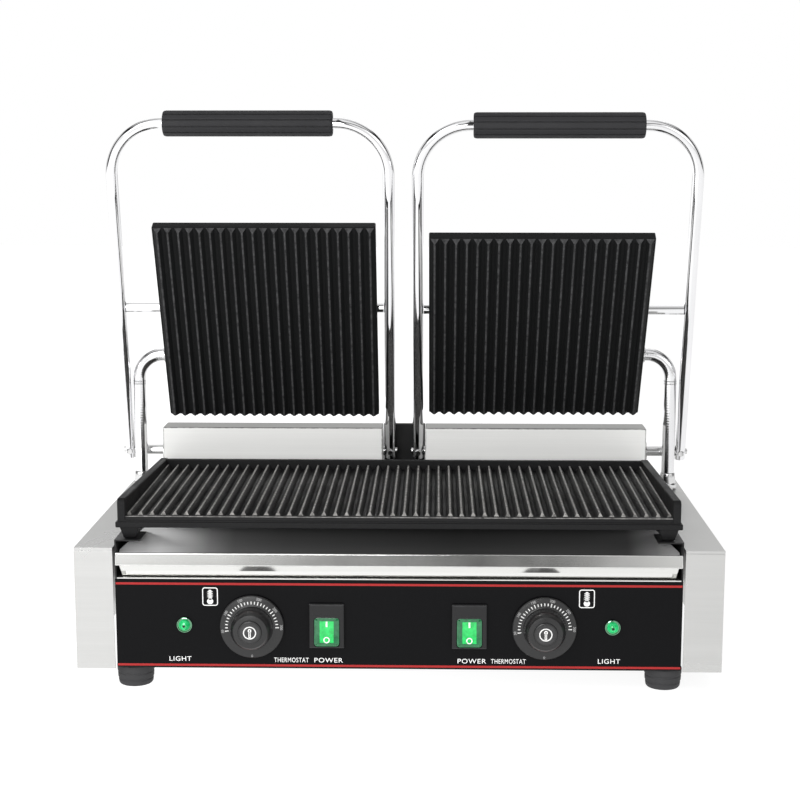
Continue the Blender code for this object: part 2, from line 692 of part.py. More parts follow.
def make_wiring(base):
    gland = rod("cable_gland", 0.0110, (-0.190, BODY_DEPTH + GAP, 0.045), (-0.190, BODY_DEPTH + 0.017, 0.045),
                "satin_black", base, sides=12, end_radius=0.0085)
    neck = rod("gland_neck", 0.0080, (-0.190, 0.3035, 0.045), (-0.190, BODY_DEPTH + 0.002, 0.045),
               "satin_black", base, sides=16)
    bore = rod("gland_bore", 0.0045, (-0.190, 0.290, 0.045), (-0.190, 0.330, 0.045),
               "satin_black", base, sides=16)
    bevel(gland, 0.0010)
    join(gland, neck)
    cut(gland, bore)
    block = box("terminal_block", (-0.215, 0.235, 0.0200), (-0.155, 0.258, 0.0390), "ceramic", base)
    bevel(block, 0.0010)


# Assembly

def make_press():
    base = empty("base_frame", None, (0.0, -FRONT_TO_ORIGIN, 0.0))
    make_chassis(base)
    make_control_panel(base)
    make_tray_shelf(base)
    make_rear_cover(base)
    make_feet(base)
    make_drip_tray(base)
    make_lower_plate(base)
    make_lower_heaters(base)
    make_centre_bracket(base)
    make_wiring(base)
    for side, sign in SIDES.items():
        make_side_cover(base, side, sign)
        make_hinge_box(base, side, sign)
        make_axle_bush(base, side, sign)
        make_spring(base, side, sign)
        make_thermostat(base, side, sign)
        make_knob(base, side, sign)
        make_switch(base, side, sign)
        make_lamp(base, side, sign)
        make_moving_side(base, side, sign)


def make_moving_side(base, side, sign):
    """One handle with its head, leaning forward at rest, and the conduit between head and body."""
    handle_x = sign * (LEG_OUTER_X + LEG_INNER_X) / 2
    pivot = empty("handle_pivot_" + side, base, (handle_x, PIVOT_Y, PIVOT_Z), HANDLE_LEAN[side])
    make_handle(pivot, side, sign)
    tilt = empty("head_pivot_" + side, pivot, (sign * HEAD_CENTRE_X - handle_x, 0, ROD_HEIGHT),
                 HEAD_LEAN[side] - HANDLE_LEAN[side])
    make_upper_plate(tilt, side)
    make_head_cover(tilt, side, sign)
    make_upper_heater(tilt, side)
    make_head_gland(tilt, side, sign)
    lean = HANDLE_LEAN[side]
    head_origin = Vector((sign * HEAD_CENTRE_X, PIVOT_Y - ROD_HEIGHT * math.sin(lean),
                          PIVOT_Z + ROD_HEIGHT * math.cos(lean)))
    make_hose(base, head_origin, side, sign)


make_press()
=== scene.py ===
import json
import math

import bpy
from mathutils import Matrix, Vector


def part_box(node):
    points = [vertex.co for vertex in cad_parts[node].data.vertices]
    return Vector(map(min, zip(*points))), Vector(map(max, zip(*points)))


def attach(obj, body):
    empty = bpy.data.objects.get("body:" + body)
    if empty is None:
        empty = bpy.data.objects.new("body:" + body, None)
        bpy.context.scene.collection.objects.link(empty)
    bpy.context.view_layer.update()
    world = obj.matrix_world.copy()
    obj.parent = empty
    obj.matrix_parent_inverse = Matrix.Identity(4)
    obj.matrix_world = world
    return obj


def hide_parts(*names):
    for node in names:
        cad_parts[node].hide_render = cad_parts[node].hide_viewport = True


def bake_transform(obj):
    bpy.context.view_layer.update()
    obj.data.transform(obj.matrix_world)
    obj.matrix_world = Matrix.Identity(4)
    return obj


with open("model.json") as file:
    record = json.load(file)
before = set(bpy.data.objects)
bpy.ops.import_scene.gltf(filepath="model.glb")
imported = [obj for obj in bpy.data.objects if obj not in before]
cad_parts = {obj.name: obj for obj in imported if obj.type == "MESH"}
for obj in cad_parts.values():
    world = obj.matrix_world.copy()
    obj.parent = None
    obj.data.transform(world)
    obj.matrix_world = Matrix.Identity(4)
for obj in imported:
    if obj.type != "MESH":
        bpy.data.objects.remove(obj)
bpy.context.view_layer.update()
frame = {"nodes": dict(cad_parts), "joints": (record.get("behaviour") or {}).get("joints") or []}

# Driving dimensions, in metres. Body pieces are measured from the body's front plane,
# handle pieces from the axle and head pieces from the rod that the head tilts on.
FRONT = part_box("side_cover_left")[0].y
GAP = 0.0003
SHEET = 0.0012
DOUBLES = 0.000005
SIDES = {"left": -1.0, "right": 1.0}
HANDLE_LEAN = {"left": math.radians(11.9), "right": math.radians(13.4)}
HEAD_LEAN = {"left": math.radians(24.3), "right": math.radians(30.5)}
BOX_INNER = 0.0215
BOX_OUTER = 0.2425
PIVOT_Y = 0.272
PIVOT_Z = 0.1625
LEG_SPREAD = 0.13315
TUBE_RADIUS = 0.0055
HANDLE_HEIGHT = 0.3347
HANDLE_BEND = 0.050
LEG_TAIL = 0.008

RIB_PITCH = 0.010
RIB_BASE = 0.0076
RIB_TOP = 0.0012
RIB_ROOT = 0.150
RIB_TIP = 0.155
LOWER_RIBS = 48
UPPER_RIBS = 21
UPPER_RIB_HEIGHT = 0.0036
HEAD_FACE = 0.036
HEAD_HALF = 0.1053
HEAD_BACK = 0.098
HEAD_DEPTH = 0.018
WIRE_ENTRY = (-0.005, -0.052)
CONDUIT_WAIST = 0.996
CONDUIT_STEP = 0.0026
CONDUIT_BEND = 0.024
QUARTER_ARC = 0.5523
BENDING = {"conduit_lower_left", "conduit_upper_left", "conduit_lower_right", "conduit_upper_right"}

KNOB_X = 0.127
KNOB_Z = 0.057
SWITCH_X = 0.062
ROCKER_Z = 0.0523
ROCKER_TILT = math.radians(7.0)
LAMP_X = 0.186
LAMP_Z = 0.058
PANEL_FACE = 0.001


# Modelling helpers

def deselect():
    bpy.ops.object.select_all(action="DESELECT")


def select_only(piece):
    deselect()
    piece.select_set(True)
    bpy.context.view_layer.objects.active = piece


def apply_place(piece):
    """Move the piece's place, turn and size into its mesh."""
    select_only(piece)
    bpy.ops.object.transform_apply(location=True, rotation=True, scale=True)
    return piece


def name_new(name):
    piece = bpy.context.object
    piece.name = name
    piece.data.name = name
    return apply_place(piece)


def block(name, low, high, rounding=0.0, segments=2):
    """A cube primitive between two corners, with its edges rounded."""
    low, high = Vector(low), Vector(high)
    deselect()
    bpy.ops.mesh.primitive_cube_add(size=1.0, location=(low + high) / 2, scale=high - low)
    piece = name_new(name)
    if rounding:
        round_edges(piece, rounding, segments)
    return piece


POINTS = (True, False, False)
EDGES = (False, True, False)
FACES = (False, False, True)


def pick_nothing(piece, mode):
    """Make a piece active with its whole mesh unselected, ready to select one kind of element."""
    select_only(piece)
    bpy.context.tool_settings.mesh_select_mode = mode
    mesh = piece.data
    for parts in (mesh.vertices, mesh.edges, mesh.polygons):
        parts.foreach_set("select", [False] * len(parts))
    return mesh


def pick_faces(piece, test):
    """Edit mode on a piece, with the faces selected whose centre and normal pass the test."""
    mesh = pick_nothing(piece, FACES)
    for face in mesh.polygons:
        face.select = test(face.center, face.normal)
    bpy.ops.object.mode_set(mode="EDIT")


def pick_edges(piece, test):
    """Edit mode on a piece, with the edges selected whose two ends pass the test."""
    mesh = pick_nothing(piece, EDGES)
    for edge in mesh.edges:
        edge.select = test(*(mesh.vertices[index].co for index in edge.vertices))
    bpy.ops.object.mode_set(mode="EDIT")


def pick_points(piece, test):
    """Edit mode on a piece, with the points selected that pass the test."""
    mesh = pick_nothing(piece, POINTS)
    for point in mesh.vertices:
        point.select = test(point.co)
    bpy.ops.object.mode_set(mode="EDIT")


def leave_edit():
    bpy.ops.object.mode_set(mode="OBJECT")


def everything(*_):
    """A test that every face passes."""
    return True


def extrude(offset):
    bpy.ops.mesh.extrude_region_move(TRANSFORM_OT_translate={"value": offset})


def resize(value, centre):
    bpy.ops.transform.resize(value=value, center_override=centre)


def slide(offset):
    bpy.ops.transform.translate(value=offset)


def push(distance):
    """Extrude the picked faces along their normals."""
    bpy.ops.mesh.extrude_region_shrink_fatten(TRANSFORM_OT_shrink_fatten={"value": distance})


def bevel_picked(width, segments):
    bpy.ops.mesh.bevel(offset=width, segments=segments, affect="EDGES")
    leave_edit()


def apply_modifier(piece, kind, **settings):
    step = piece.modifiers.new(kind.lower(), kind)
    for key, value in settings.items():
        setattr(step, key, value)
    select_only(piece)
    bpy.ops.object.modifier_apply(modifier=step.name)
    return piece


def round_edges(piece, width, segments=2, angle=30.0):
    return apply_modifier(piece, "BEVEL", width=width, segments=segments, limit_method="ANGLE",
                          angle_limit=math.radians(angle), use_clamp_overlap=True)


def wall(piece, thickness=SHEET):
    """Give an open shell its sheet thickness, inwards."""
    return apply_modifier(piece, "SOLIDIFY", thickness=thickness, offset=-1.0, use_even_offset=True)


def slice_off(piece, point, normal, fill=True):
    """Cut along a plane and drop what lies on the side that the normal points to."""
    pick_faces(piece, everything)
    bpy.ops.mesh.bisect(plane_co=point, plane_no=normal, clear_outer=True, use_fill=fill)
    leave_edit()


def score(piece, point, normal):
    """Cut along a plane and keep both sides."""
    pick_faces(piece, everything)
    bpy.ops.mesh.bisect(plane_co=point, plane_no=normal)
    leave_edit()


def drop_faces(piece, test):
    pick_faces(piece, test)
    bpy.ops.mesh.delete(type="FACE")
    leave_edit()


def outward(piece):
    """Merge doubles and point the faces outwards."""
    pick_faces(piece, everything)
    bpy.ops.mesh.remove_doubles(threshold=DOUBLES)
    bpy.ops.mesh.select_all(action="SELECT")
    bpy.ops.mesh.normals_make_consistent(inside=False)
    leave_edit()


def join(piece, *others):
    deselect()
    for other in others:
        other.select_set(True)
    piece.select_set(True)
    bpy.context.view_layer.objects.active = piece
    bpy.ops.object.join()
    return piece


def drill(piece, *tools):
    """Cut tools out of a piece and remove them."""
    for tool in tools:
        apply_modifier(piece, "BOOLEAN", operation="DIFFERENCE", solver="EXACT", object=tool)
        bpy.data.objects.remove(tool, do_unlink=True)
    return piece


def copy_of(piece, name):
    """A copy with its own mesh."""
    twin = piece.copy()
    twin.data = piece.data.copy()
    twin.name = name
    twin.data.name = name
    bpy.context.scene.collection.objects.link(twin)
    return twin


def stand(piece, location, turn=(0.0, 0.0, 0.0)):
    piece.location = location
    piece.rotation_euler = turn
    return apply_place(piece)


def turned(name, profile, sides=48):
    """A solid of revolution about Z: a disc extruded and resized up a profile of (radius, height)."""
    radius, height = profile[0]
    deselect()
    bpy.ops.mesh.primitive_circle_add(vertices=sides, radius=radius, fill_type="NGON",
                                      location=(0, 0, height))
    piece = name_new(name)
    pick_faces(piece, everything)
    for new_radius, new_height in profile[1:]:
        extrude((0, 0, new_height - height))
        grow = new_radius / radius
        resize((grow, grow, 1.0), (0, 0, new_height))
        radius, height = new_radius, new_height
    bpy.ops.mesh.select_all(action="SELECT")
    bpy.ops.mesh.normals_make_consistent(inside=False)
    leave_edit()
    return piece


def rod(name, radius, start, end, sides=32):
    """A round cutter or bar between two points."""
    start, end = Vector(start), Vector(end)
    deselect()
    bpy.ops.mesh.primitive_cylinder_add(vertices=sides, radius=radius, depth=(end - start).length)
    piece = name_new(name)
    turn = (end - start).to_track_quat("Z", "Y").to_euler()
    return stand(piece, (start + end) / 2, turn)


def repeat(piece, count, offset):
    return apply_modifier(piece, "ARRAY", count=count, use_relative_offset=False,
                          use_constant_offset=True, constant_offset_displace=offset)


def mark_wear_and_highlights(piece, widest, extra=None):
    """Mark narrow edge faces, and faces that pass the extra test, for the materials to give their edge
    colour: rubbed edges, and on the cast iron painted highlights that are partly scraped metal.
    """
    mesh = piece.data
    wear_and_highlight = mesh.attributes.get("wear_and_highlight") or mesh.attributes.new("wear_and_highlight", "FLOAT", "CORNER")
    for face in mesh.polygons:
        longest = max((mesh.vertices[a].co - mesh.vertices[b].co).length for a, b in face.edge_keys)
        narrow = face.area / max(longest, 1e-6) < widest
        value = 1.0 if narrow or (extra and extra(face.center, face.normal)) else 0.0
        for corner in face.loop_indices:
            wear_and_highlight.data[corner].value = value


def smooth(piece, angle=35.0):
    """Smooth shading across the rounded edges only, with the broad faces kept flat."""
    select_only(piece)
    bpy.ops.object.shade_smooth_by_angle(angle=math.radians(angle))
    if piece.name not in BENDING:
        apply_modifier(piece, "WEIGHTED_NORMAL", keep_sharp=True, weight=100)


def dress(piece, look, body, slot, *nodes):
    """Give a finished piece its material, its body and the nodes it stands for, which it hides; the slot
    argument is not used.
    """
    if not piece.data.materials:
        piece.data.materials.append(look)
    if piece.type == "MESH":
        smooth(piece)
    if body:
        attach(piece, body)
    if nodes:
        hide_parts(*nodes)
    return piece


def on_body(piece):
    """Move a piece from the body's own frame to its place."""
    return stand(piece, (0.0, FRONT, 0.0))


def body_box(node):
    """The corners of a node, in the body's own frame."""
    low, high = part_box(node)
    return low - Vector((0, FRONT, 0)), high - Vector((0, FRONT, 0))


# Shader helpers

def add(tree, kind, values=None, **settings):
    made = tree.nodes.new(kind)
    for key, value in settings.items():
        setattr(made, key, value)
    for key, value in (values or {}).items():
        made.inputs[key].default_value = value
    return made


def new_group(name, inputs, outputs):
    group = bpy.data.node_groups.new(name, "ShaderNodeTree")
    for label, kind, value in inputs:
        socket = group.interface.new_socket(name=label, in_out="INPUT", socket_type=kind)
        if value is not None:
            socket.default_value = value
    for label in outputs:
        group.interface.new_socket(name=label, in_out="OUTPUT", socket_type="NodeSocketFloat")
    return group, group.nodes.new("NodeGroupInput"), group.nodes.new("NodeGroupOutput")


VECTOR = "NodeSocketVector"
NUMBER = "NodeSocketFloat"


def ranged(tree, source, low, high, new_low, new_high):
    """A clamped map of one value range onto another; low and high may be sockets."""
    step = add(tree, "ShaderNodeMapRange", {"From Min": low, "From Max": high})
    tree.links.new(source, step.inputs["Value"])
    for label, value in (("To Min", new_low), ("To Max", new_high)):
        if isinstance(value, bpy.types.NodeSocket):
            tree.links.new(value, step.inputs[label])
        else:
            step.inputs[label].default_value = value
    return step.outputs["Result"]


def make_smudges():
    """Broad, soft patches from low to high."""
    group, start, end = new_group("smudges", [("Place", VECTOR, None), ("Scale", NUMBER, 20.0),
                                              ("Low", NUMBER, 0.2), ("High", NUMBER, 0.4)], ["Value"])
    noise = add(group, "ShaderNodeTexNoise", {"Detail": 3.0, "Roughness": 0.55, "Distortion": 0.4})
    group.links.new(start.outputs["Place"], noise.inputs["Vector"])
    group.links.new(start.outputs["Scale"], noise.inputs["Scale"])
    value = ranged(group, noise.outputs["Fac"], 0.3, 0.7, start.outputs["Low"], start.outputs["High"])
    group.links.new(value, end.inputs["Value"])
    return group


def make_brushed_lines():
    """Long fine scratches on coordinates that the material stretches along them."""
    group, start, end = new_group("brushed_lines", [("Place", VECTOR, None), ("Low", NUMBER, 0.8),
                                                    ("High", NUMBER, 1.0)], ["Value", "Height"])
    fine = add(group, "ShaderNodeTexNoise", {"Scale": 1.0, "Detail": 5.0, "Roughness": 0.7})
    broad = add(group, "ShaderNodeTexNoise", {"Scale": 0.16, "Detail": 2.0, "Roughness": 0.5})
    for noise in (fine, broad):
        group.links.new(start.outputs["Place"], noise.inputs["Vector"])
    both = add(group, "ShaderNodeMath", operation="ADD")
    group.links.new(fine.outputs["Fac"], both.inputs[0])
    group.links.new(broad.outputs["Fac"], both.inputs[1])
    value = ranged(group, both.outputs["Value"], 0.7, 1.3, start.outputs["Low"], start.outputs["High"])
    group.links.new(value, end.inputs["Value"])
    group.links.new(fine.outputs["Fac"], end.inputs["Height"])
    return group


def make_cast_grain():
    """The skin of sand-cast iron or moulded plastic: fine bumps with a few larger pits."""
    group, start, end = new_group("cast_grain", [("Place", VECTOR, None), ("Scale", NUMBER, 900.0),
                                                 ("Pits", NUMBER, 0.35)], ["Specks", "Height"])
    grain = add(group, "ShaderNodeTexNoise", {"Detail": 4.0, "Roughness": 0.65})
    pits = add(group, "ShaderNodeTexVoronoi", {"Randomness": 1.0})
    smaller = add(group, "ShaderNodeMath", {1: 0.4}, operation="MULTIPLY")
    group.links.new(start.outputs["Scale"], smaller.inputs[0])
    for texture in (grain, pits):
        group.links.new(start.outputs["Place"], texture.inputs["Vector"])
    group.links.new(start.outputs["Scale"], grain.inputs["Scale"])
    group.links.new(smaller.outputs["Value"], pits.inputs["Scale"])
    shallow = add(group, "ShaderNodeMath", operation="MULTIPLY_ADD")
    group.links.new(pits.outputs["Distance"], shallow.inputs[0])
    group.links.new(start.outputs["Pits"], shallow.inputs[1])
    group.links.new(grain.outputs["Fac"], shallow.inputs[2])
    group.links.new(ranged(group, grain.outputs["Fac"], 0.56, 0.70, 0.0, 1.0), end.inputs["Specks"])
    group.links.new(shallow.outputs["Value"], end.inputs["Height"])
    return group


def make_wear_and_highlight_edge():
    """Breaks the edge mark up, so that the edge colour (rubbed edges, and painted highlights on the cast
    iron) shows in patches.
    """
    group, start, end = new_group("wear_and_highlight_edge", [("Place", VECTOR, None), ("Wear and highlight", NUMBER, 0.0),
                                                ("Scale", NUMBER, 120.0), ("Amount", NUMBER, 0.8)], ["Mask"])
    noise = add(group, "ShaderNodeTexNoise", {"Detail": 4.0, "Roughness": 0.7})
    group.links.new(start.outputs["Place"], noise.inputs["Vector"])
    group.links.new(start.outputs["Scale"], noise.inputs["Scale"])
    broken = ranged(group, noise.outputs["Fac"], 0.34, 0.62, 0.25, 1.0)
    wear_and_highlight = add(group, "ShaderNodeMath", operation="MULTIPLY")
    group.links.new(broken, wear_and_highlight.inputs[0])
    group.links.new(start.outputs["Wear and highlight"], wear_and_highlight.inputs[1])
    scaled = add(group, "ShaderNodeMath", operation="MULTIPLY")
    group.links.new(wear_and_highlight.outputs["Value"], scaled.inputs[0])
    group.links.new(start.outputs["Amount"], scaled.inputs[1])
    group.links.new(scaled.outputs["Value"], end.inputs["Mask"])
    return group


SMUDGES = make_smudges()
BRUSHED_LINES = make_brushed_lines()
CAST_GRAIN = make_cast_grain()
WEAR_AND_HIGHLIGHT_EDGE = make_wear_and_highlight_edge()


def new_look(name, metallic=0.0, specular=0.5, coat=0.0, coat_roughness=0.05):
    """A material with its Principled shader and its object coordinates."""
    look = bpy.data.materials.new(name)
    look.use_nodes = True
    tree = look.node_tree
    shader = tree.nodes["Principled BSDF"]
    shader.inputs["Metallic"].default_value = metallic
    shader.inputs["Specular IOR Level"].default_value = specular
    shader.inputs["Coat Weight"].default_value = coat
    shader.inputs["Coat Roughness"].default_value = coat_roughness
    place = tree.nodes.new("ShaderNodeTexCoord").outputs["Object"]
    return look, tree, shader, place


def use(tree, group, place, **values):
    made = tree.nodes.new("ShaderNodeGroup")
    made.node_tree = group
    tree.links.new(place, made.inputs["Place"])
    for key, value in values.items():
        made.inputs[key.capitalize()].default_value = value
    return made


def tint(tree, factor, dark, light):
    """A colour between two, by a factor from 0 to 1."""
    mix = add(tree, "ShaderNodeMix", data_type="RGBA")
    mix.inputs[6].default_value = (*dark, 1.0)
    mix.inputs[7].default_value = (*light, 1.0)
    tree.links.new(factor, mix.inputs[0])
    return mix.outputs[2]


def over(tree, factor, below, light):
    """A colour laid over another one by a mask."""
    mix = add(tree, "ShaderNodeMix", data_type="RGBA")
    tree.links.new(below, mix.inputs[6])
    mix.inputs[7].default_value = (*light, 1.0)
    tree.links.new(factor, mix.inputs[0])
    return mix.outputs[2]


def bump(tree, shader, height, strength, distance):
    made = add(tree, "ShaderNodeBump", {"Strength": strength, "Distance": distance})
    tree.links.new(height, made.inputs["Height"])
    tree.links.new(made.outputs["Normal"], shader.inputs["Normal"])


def smudge(tree, shader, place, scale, roughness):
    """Vary the roughness in soft patches, between two values."""
    low, high = roughness
    marks = use(tree, SMUDGES, place, scale=scale, low=low, high=high)
    tree.links.new(marks.outputs["Value"], shader.inputs["Roughness"])


def product(tree, first, second):
    """Two colours multiplied."""
    mix = add(tree, "ShaderNodeMix", data_type="RGBA", blend_type="MULTIPLY")
    mix.inputs[0].default_value = 1.0
    tree.links.new(first, mix.inputs[6])
    tree.links.new(second, mix.inputs[7])
    return mix.outputs[2]


def grey_ramp(tree, source, stops):
    """Greys along a range from 0 to 1, by rows of (position, level)."""
    ramp = tree.nodes.new("ShaderNodeValToRGB")
    elements = ramp.color_ramp.elements
    while len(elements) < len(stops):
        elements.new(0.5)
    for element, (position, level) in zip(elements, stops):
        element.position = position
        element.color = (level, level, level, 1.0)
    tree.links.new(source, ramp.inputs["Fac"])
    return ramp.outputs["Color"]


def wear_and_highlight_mask(tree, place, scale, amount):
    mark = add(tree, "ShaderNodeAttribute", attribute_name="wear_and_highlight")
    made = use(tree, WEAR_AND_HIGHLIGHT_EDGE, place, scale=scale, amount=amount)
    tree.links.new(mark.outputs["Fac"], made.inputs["Wear and highlight"])
    return made.outputs["Mask"]


# Materials

def brush(tree, place, stretch, low):
    """Brushed lines from low to 1; stretch is how fine they are on each axis."""
    mapping = add(tree, "ShaderNodeMapping", {"Scale": stretch})
    tree.links.new(place, mapping.inputs["Vector"])
    return use(tree, BRUSHED_LINES, mapping.outputs["Vector"], low=low, high=1.0)


def brushed_steel(name, stretch, colour, roughness, strength=0.05, metallic=0.8, edge=(0.90, 0.90, 0.89)):
    """Stainless sheet, brushed in one direction, with worn edges of their own colour."""
    look, tree, shader, place = new_look(name, metallic=metallic)
    lines = brush(tree, place, stretch, 0.0)
    dark = tuple(channel * 0.94 for channel in colour)
    plain = tint(tree, lines.outputs["Value"], dark, colour)
    tree.links.new(over(tree, wear_and_highlight_mask(tree, place, 160.0, 0.7), plain, edge), shader.inputs["Base Color"])
    smudge(tree, shader, place, 14.0, roughness)
    bump(tree, shader, lines.outputs["Height"], strength, 0.00012)
    return look


def end_lit_deck(name):
    """Brushed steel with painted light at its two ends, stronger at the left, and painted shade in between,
    where the plate above shades it.
    """
    look, tree, shader, place = new_look(name, metallic=0.20)
    lines = brush(tree, place, (6.0, 800.0, 800.0), 0.9)
    split = tree.nodes.new("ShaderNodeSeparateXYZ")
    tree.links.new(place, split.inputs["Vector"])
    along = ranged(tree, split.outputs["X"], -0.25, 0.25, 0.0, 1.0)
    # Painted light and shade along X: bright at the ends, where side light reaches under the plate, and dark
    # in the plate's shade.
    painted_end_light = grey_ramp(tree, along, ((0.0, 0.90), (0.085, 0.86), (0.13, 0.55), (0.17, 0.26), (0.21, 0.13),
                                    (0.30, 0.09), (0.60, 0.055), (0.90, 0.07), (0.95, 0.30), (0.98, 0.75)))
    tree.links.new(product(tree, painted_end_light, lines.outputs["Value"]), shader.inputs["Base Color"])
    smudge(tree, shader, place, 14.0, (0.34, 0.44))
    bump(tree, shader, lines.outputs["Height"], 0.05, 0.00012)
    return look


def polished(name, colour, roughness, grain_scale=260.0):
    """Plated or polished metal with faint handling marks."""
    look, tree, shader, place = new_look(name, metallic=1.0)
    smudge(tree, shader, place, 34.0, roughness)
    patches = use(tree, SMUDGES, place, scale=9.0, low=0.0, high=1.0)
    dark = tuple(channel * 0.9 for channel in colour)
    tree.links.new(tint(tree, patches.outputs["Value"], dark, colour), shader.inputs["Base Color"])
    grain = use(tree, CAST_GRAIN, place, scale=grain_scale, pits=0.1)
    bump(tree, shader, grain.outputs["Height"], 0.02, 0.0002)
    return look


def seasoned_iron(name, colour, speck, bare_and_highlight, wear_and_highlight_amount, specular, roughness):
    """Black cast iron, speckled, with a light edge colour on the marked rib tips and edges: partly metal
    scraped clean, partly painted highlight.
    """
    look, tree, shader, place = new_look(name, specular=specular)
    grain = use(tree, CAST_GRAIN, place, scale=700.0, pits=0.5)
    plain = tint(tree, grain.outputs["Specks"], colour, speck)
    # Marked edges take the third colour: painted highlight, partly metal scraped clean.
    wear_and_highlight = wear_and_highlight_mask(tree, place, 220.0, wear_and_highlight_amount)
    tree.links.new(over(tree, wear_and_highlight, plain, bare_and_highlight), shader.inputs["Base Color"])
    smudge(tree, shader, place, 22.0, roughness)
    bump(tree, shader, grain.outputs["Height"], 0.35, 0.0004)
    return look


def moulded(name, colour, roughness, specular=0.4, scale=1500.0, strength=0.12, wear_and_highlight_amount=0.25,
            bare_and_highlight=(0.11, 0.11, 0.115)):
    """Moulded plastic, paint or rubber with a fine skin and rubbed edges."""
    look, tree, shader, place = new_look(name, specular=specular)
    grain = use(tree, CAST_GRAIN, place, scale=scale, pits=0.2)
    plain = tint(tree, grain.outputs["Specks"], colour, tuple(channel * 1.25 for channel in colour))
    wear_and_highlight = wear_and_highlight_mask(tree, place, 180.0, wear_and_highlight_amount)
    tree.links.new(over(tree, wear_and_highlight, plain, bare_and_highlight), shader.inputs["Base Color"])
    smudge(tree, shader, place, 30.0, roughness)
    bump(tree, shader, grain.outputs["Height"], strength, 0.0003)
    return look


def lit_plastic(name, colour, bright, glow, roughness=(0.18, 0.3)):
    """Translucent coloured plastic with a lamp behind it."""
    look, tree, shader, place = new_look(name, specular=0.5, coat=0.35)
    patches = use(tree, SMUDGES, place, scale=260.0, low=0.0, high=1.0)
    shade = tint(tree, patches.outputs["Value"], colour, bright)
    tree.links.new(shade, shader.inputs["Base Color"])
    tree.links.new(shade, shader.inputs["Emission Color"])
    shader.inputs["Emission Strength"].default_value = glow
    smudge(tree, shader, place, 90.0, roughness)
    grain = use(tree, CAST_GRAIN, place, scale=1200.0, pits=0.2)
    bump(tree, shader, grain.outputs["Height"], 0.05, 0.0002)
    return look


LOOKS = {
    "cover_steel": brushed_steel("cover_steel", (20.0, 20.0, 900.0), (0.60, 0.60, 0.59), (0.26, 0.34),
                                 metallic=0.85, edge=(0.50, 0.50, 0.50)),
    "box_steel": brushed_steel("box_steel", (8.0, 900.0, 900.0), (0.95, 0.95, 0.93), (0.30, 0.38),
                               metallic=0.06, edge=(0.06, 0.06, 0.06)),
    "tray_steel": brushed_steel("tray_steel", (6.0, 800.0, 800.0), (0.80, 0.80, 0.78), (0.09, 0.15), 0.04,
                                metallic=0.95),
    # The deck's colour ramp is painted light at the ends and painted shade under the plate.
    "deck_steel": end_lit_deck("deck_steel"),
    # A darker copy of the box steel for the hinge boxes' top faces: painted shade, standing in for the dark
    # heads that they reflect.
    "shaded_top_steel": brushed_steel("shaded_top_steel", (8.0, 900.0, 900.0), (0.40, 0.40, 0.39), (0.34, 0.42),
                                   metallic=0.80, edge=(0.06, 0.06, 0.06)),
    "head_steel": brushed_steel("head_steel", (900.0, 900.0, 9.0), (0.76, 0.76, 0.75), (0.25, 0.36)),
    "rear_steel": brushed_steel("rear_steel", (9.0, 900.0, 900.0), (0.72, 0.72, 0.71), (0.27, 0.38)),
    "chrome": polished("chrome", (0.90, 0.90, 0.91), (0.03, 0.07)),
    "bright_steel": polished("bright_steel", (0.72, 0.72, 0.72), (0.14, 0.24)),
    "conduit": polished("conduit", (0.84, 0.84, 0.85), (0.08, 0.16), 700.0),
    "dull_steel": polished("dull_steel", (0.42, 0.41, 0.40), (0.34, 0.50), 900.0),
    # The third colour of each iron is a painted highlight on rib tips and edges, partly scraped metal.
    "rib_iron": seasoned_iron("rib_iron", (0.014, 0.014, 0.0145), (0.16, 0.155, 0.145),
                              (0.46, 0.45, 0.43), 1.0, 0.25, (0.40, 0.55)),
    "plate_iron": seasoned_iron("plate_iron", (0.010, 0.010, 0.0105), (0.018, 0.018, 0.018),
                                (0.36, 0.35, 0.34), 1.0, 0.16, (0.40, 0.55)),
    "head_iron": seasoned_iron("head_iron", (0.0110, 0.0115, 0.0118), (0.017, 0.017, 0.017),
                               (0.075, 0.075, 0.077), 1.0, 0.06, (0.42, 0.58)),
    "panel_black": moulded("panel_black", (0.0056, 0.0056, 0.0062), (0.16, 0.26), 0.07, 500.0, 0.02),
    "dial_black": moulded("dial_black", (0.015, 0.015, 0.0155), (0.24, 0.34), 0.5, 1500.0, 0.10),
    "frame_black": moulded("frame_black", (0.011, 0.011, 0.0118), (0.34, 0.46), 0.35, 1800.0, 0.14),
    "grip_rubber": moulded("grip_rubber", (0.023, 0.023, 0.025), (0.55, 0.70), 0.30, 1300.0, 0.25, 0.3,
                           (0.06, 0.06, 0.062)),
    "foot_rubber": moulded("foot_rubber", (0.040, 0.040, 0.042), (0.60, 0.75), 0.30, 1100.0, 0.30),
    "black_paint": moulded("black_paint", (0.010, 0.010, 0.0105), (0.36, 0.50), 0.30, 700.0, 0.18, 0.5,
                           (0.20, 0.20, 0.20)),
    "ceramic": moulded("ceramic", (0.60, 0.56, 0.48), (0.55, 0.70), 0.40, 900.0, 0.30),
    "red_line": moulded("red_line", (0.40, 0.018, 0.018), (0.30, 0.42), 0.30, 900.0, 0.05),
    "grey_print": moulded("grey_print", (0.34, 0.34, 0.34), (0.40, 0.52), 0.30, 1400.0, 0.08),
    "white_print": moulded("white_print", (0.94, 0.94, 0.93), (0.40, 0.52), 0.30, 1400.0, 0.08),
    "green_shell": lit_plastic("green_shell", (0.008, 0.10, 0.035), (0.020, 0.17, 0.065), 0.14),
    "green_glow": lit_plastic("green_glow", (0.008, 0.36, 0.070), (0.020, 0.56, 0.12), 0.40),
    "lamp_green": lit_plastic("lamp_green", (0.006, 0.30, 0.08), (0.030, 0.62, 0.20), 0.38, (0.06, 0.12)),
    "lamp_rim": polished("lamp_rim", (0.20, 0.40, 0.26), (0.06, 0.10)),
}


# Body

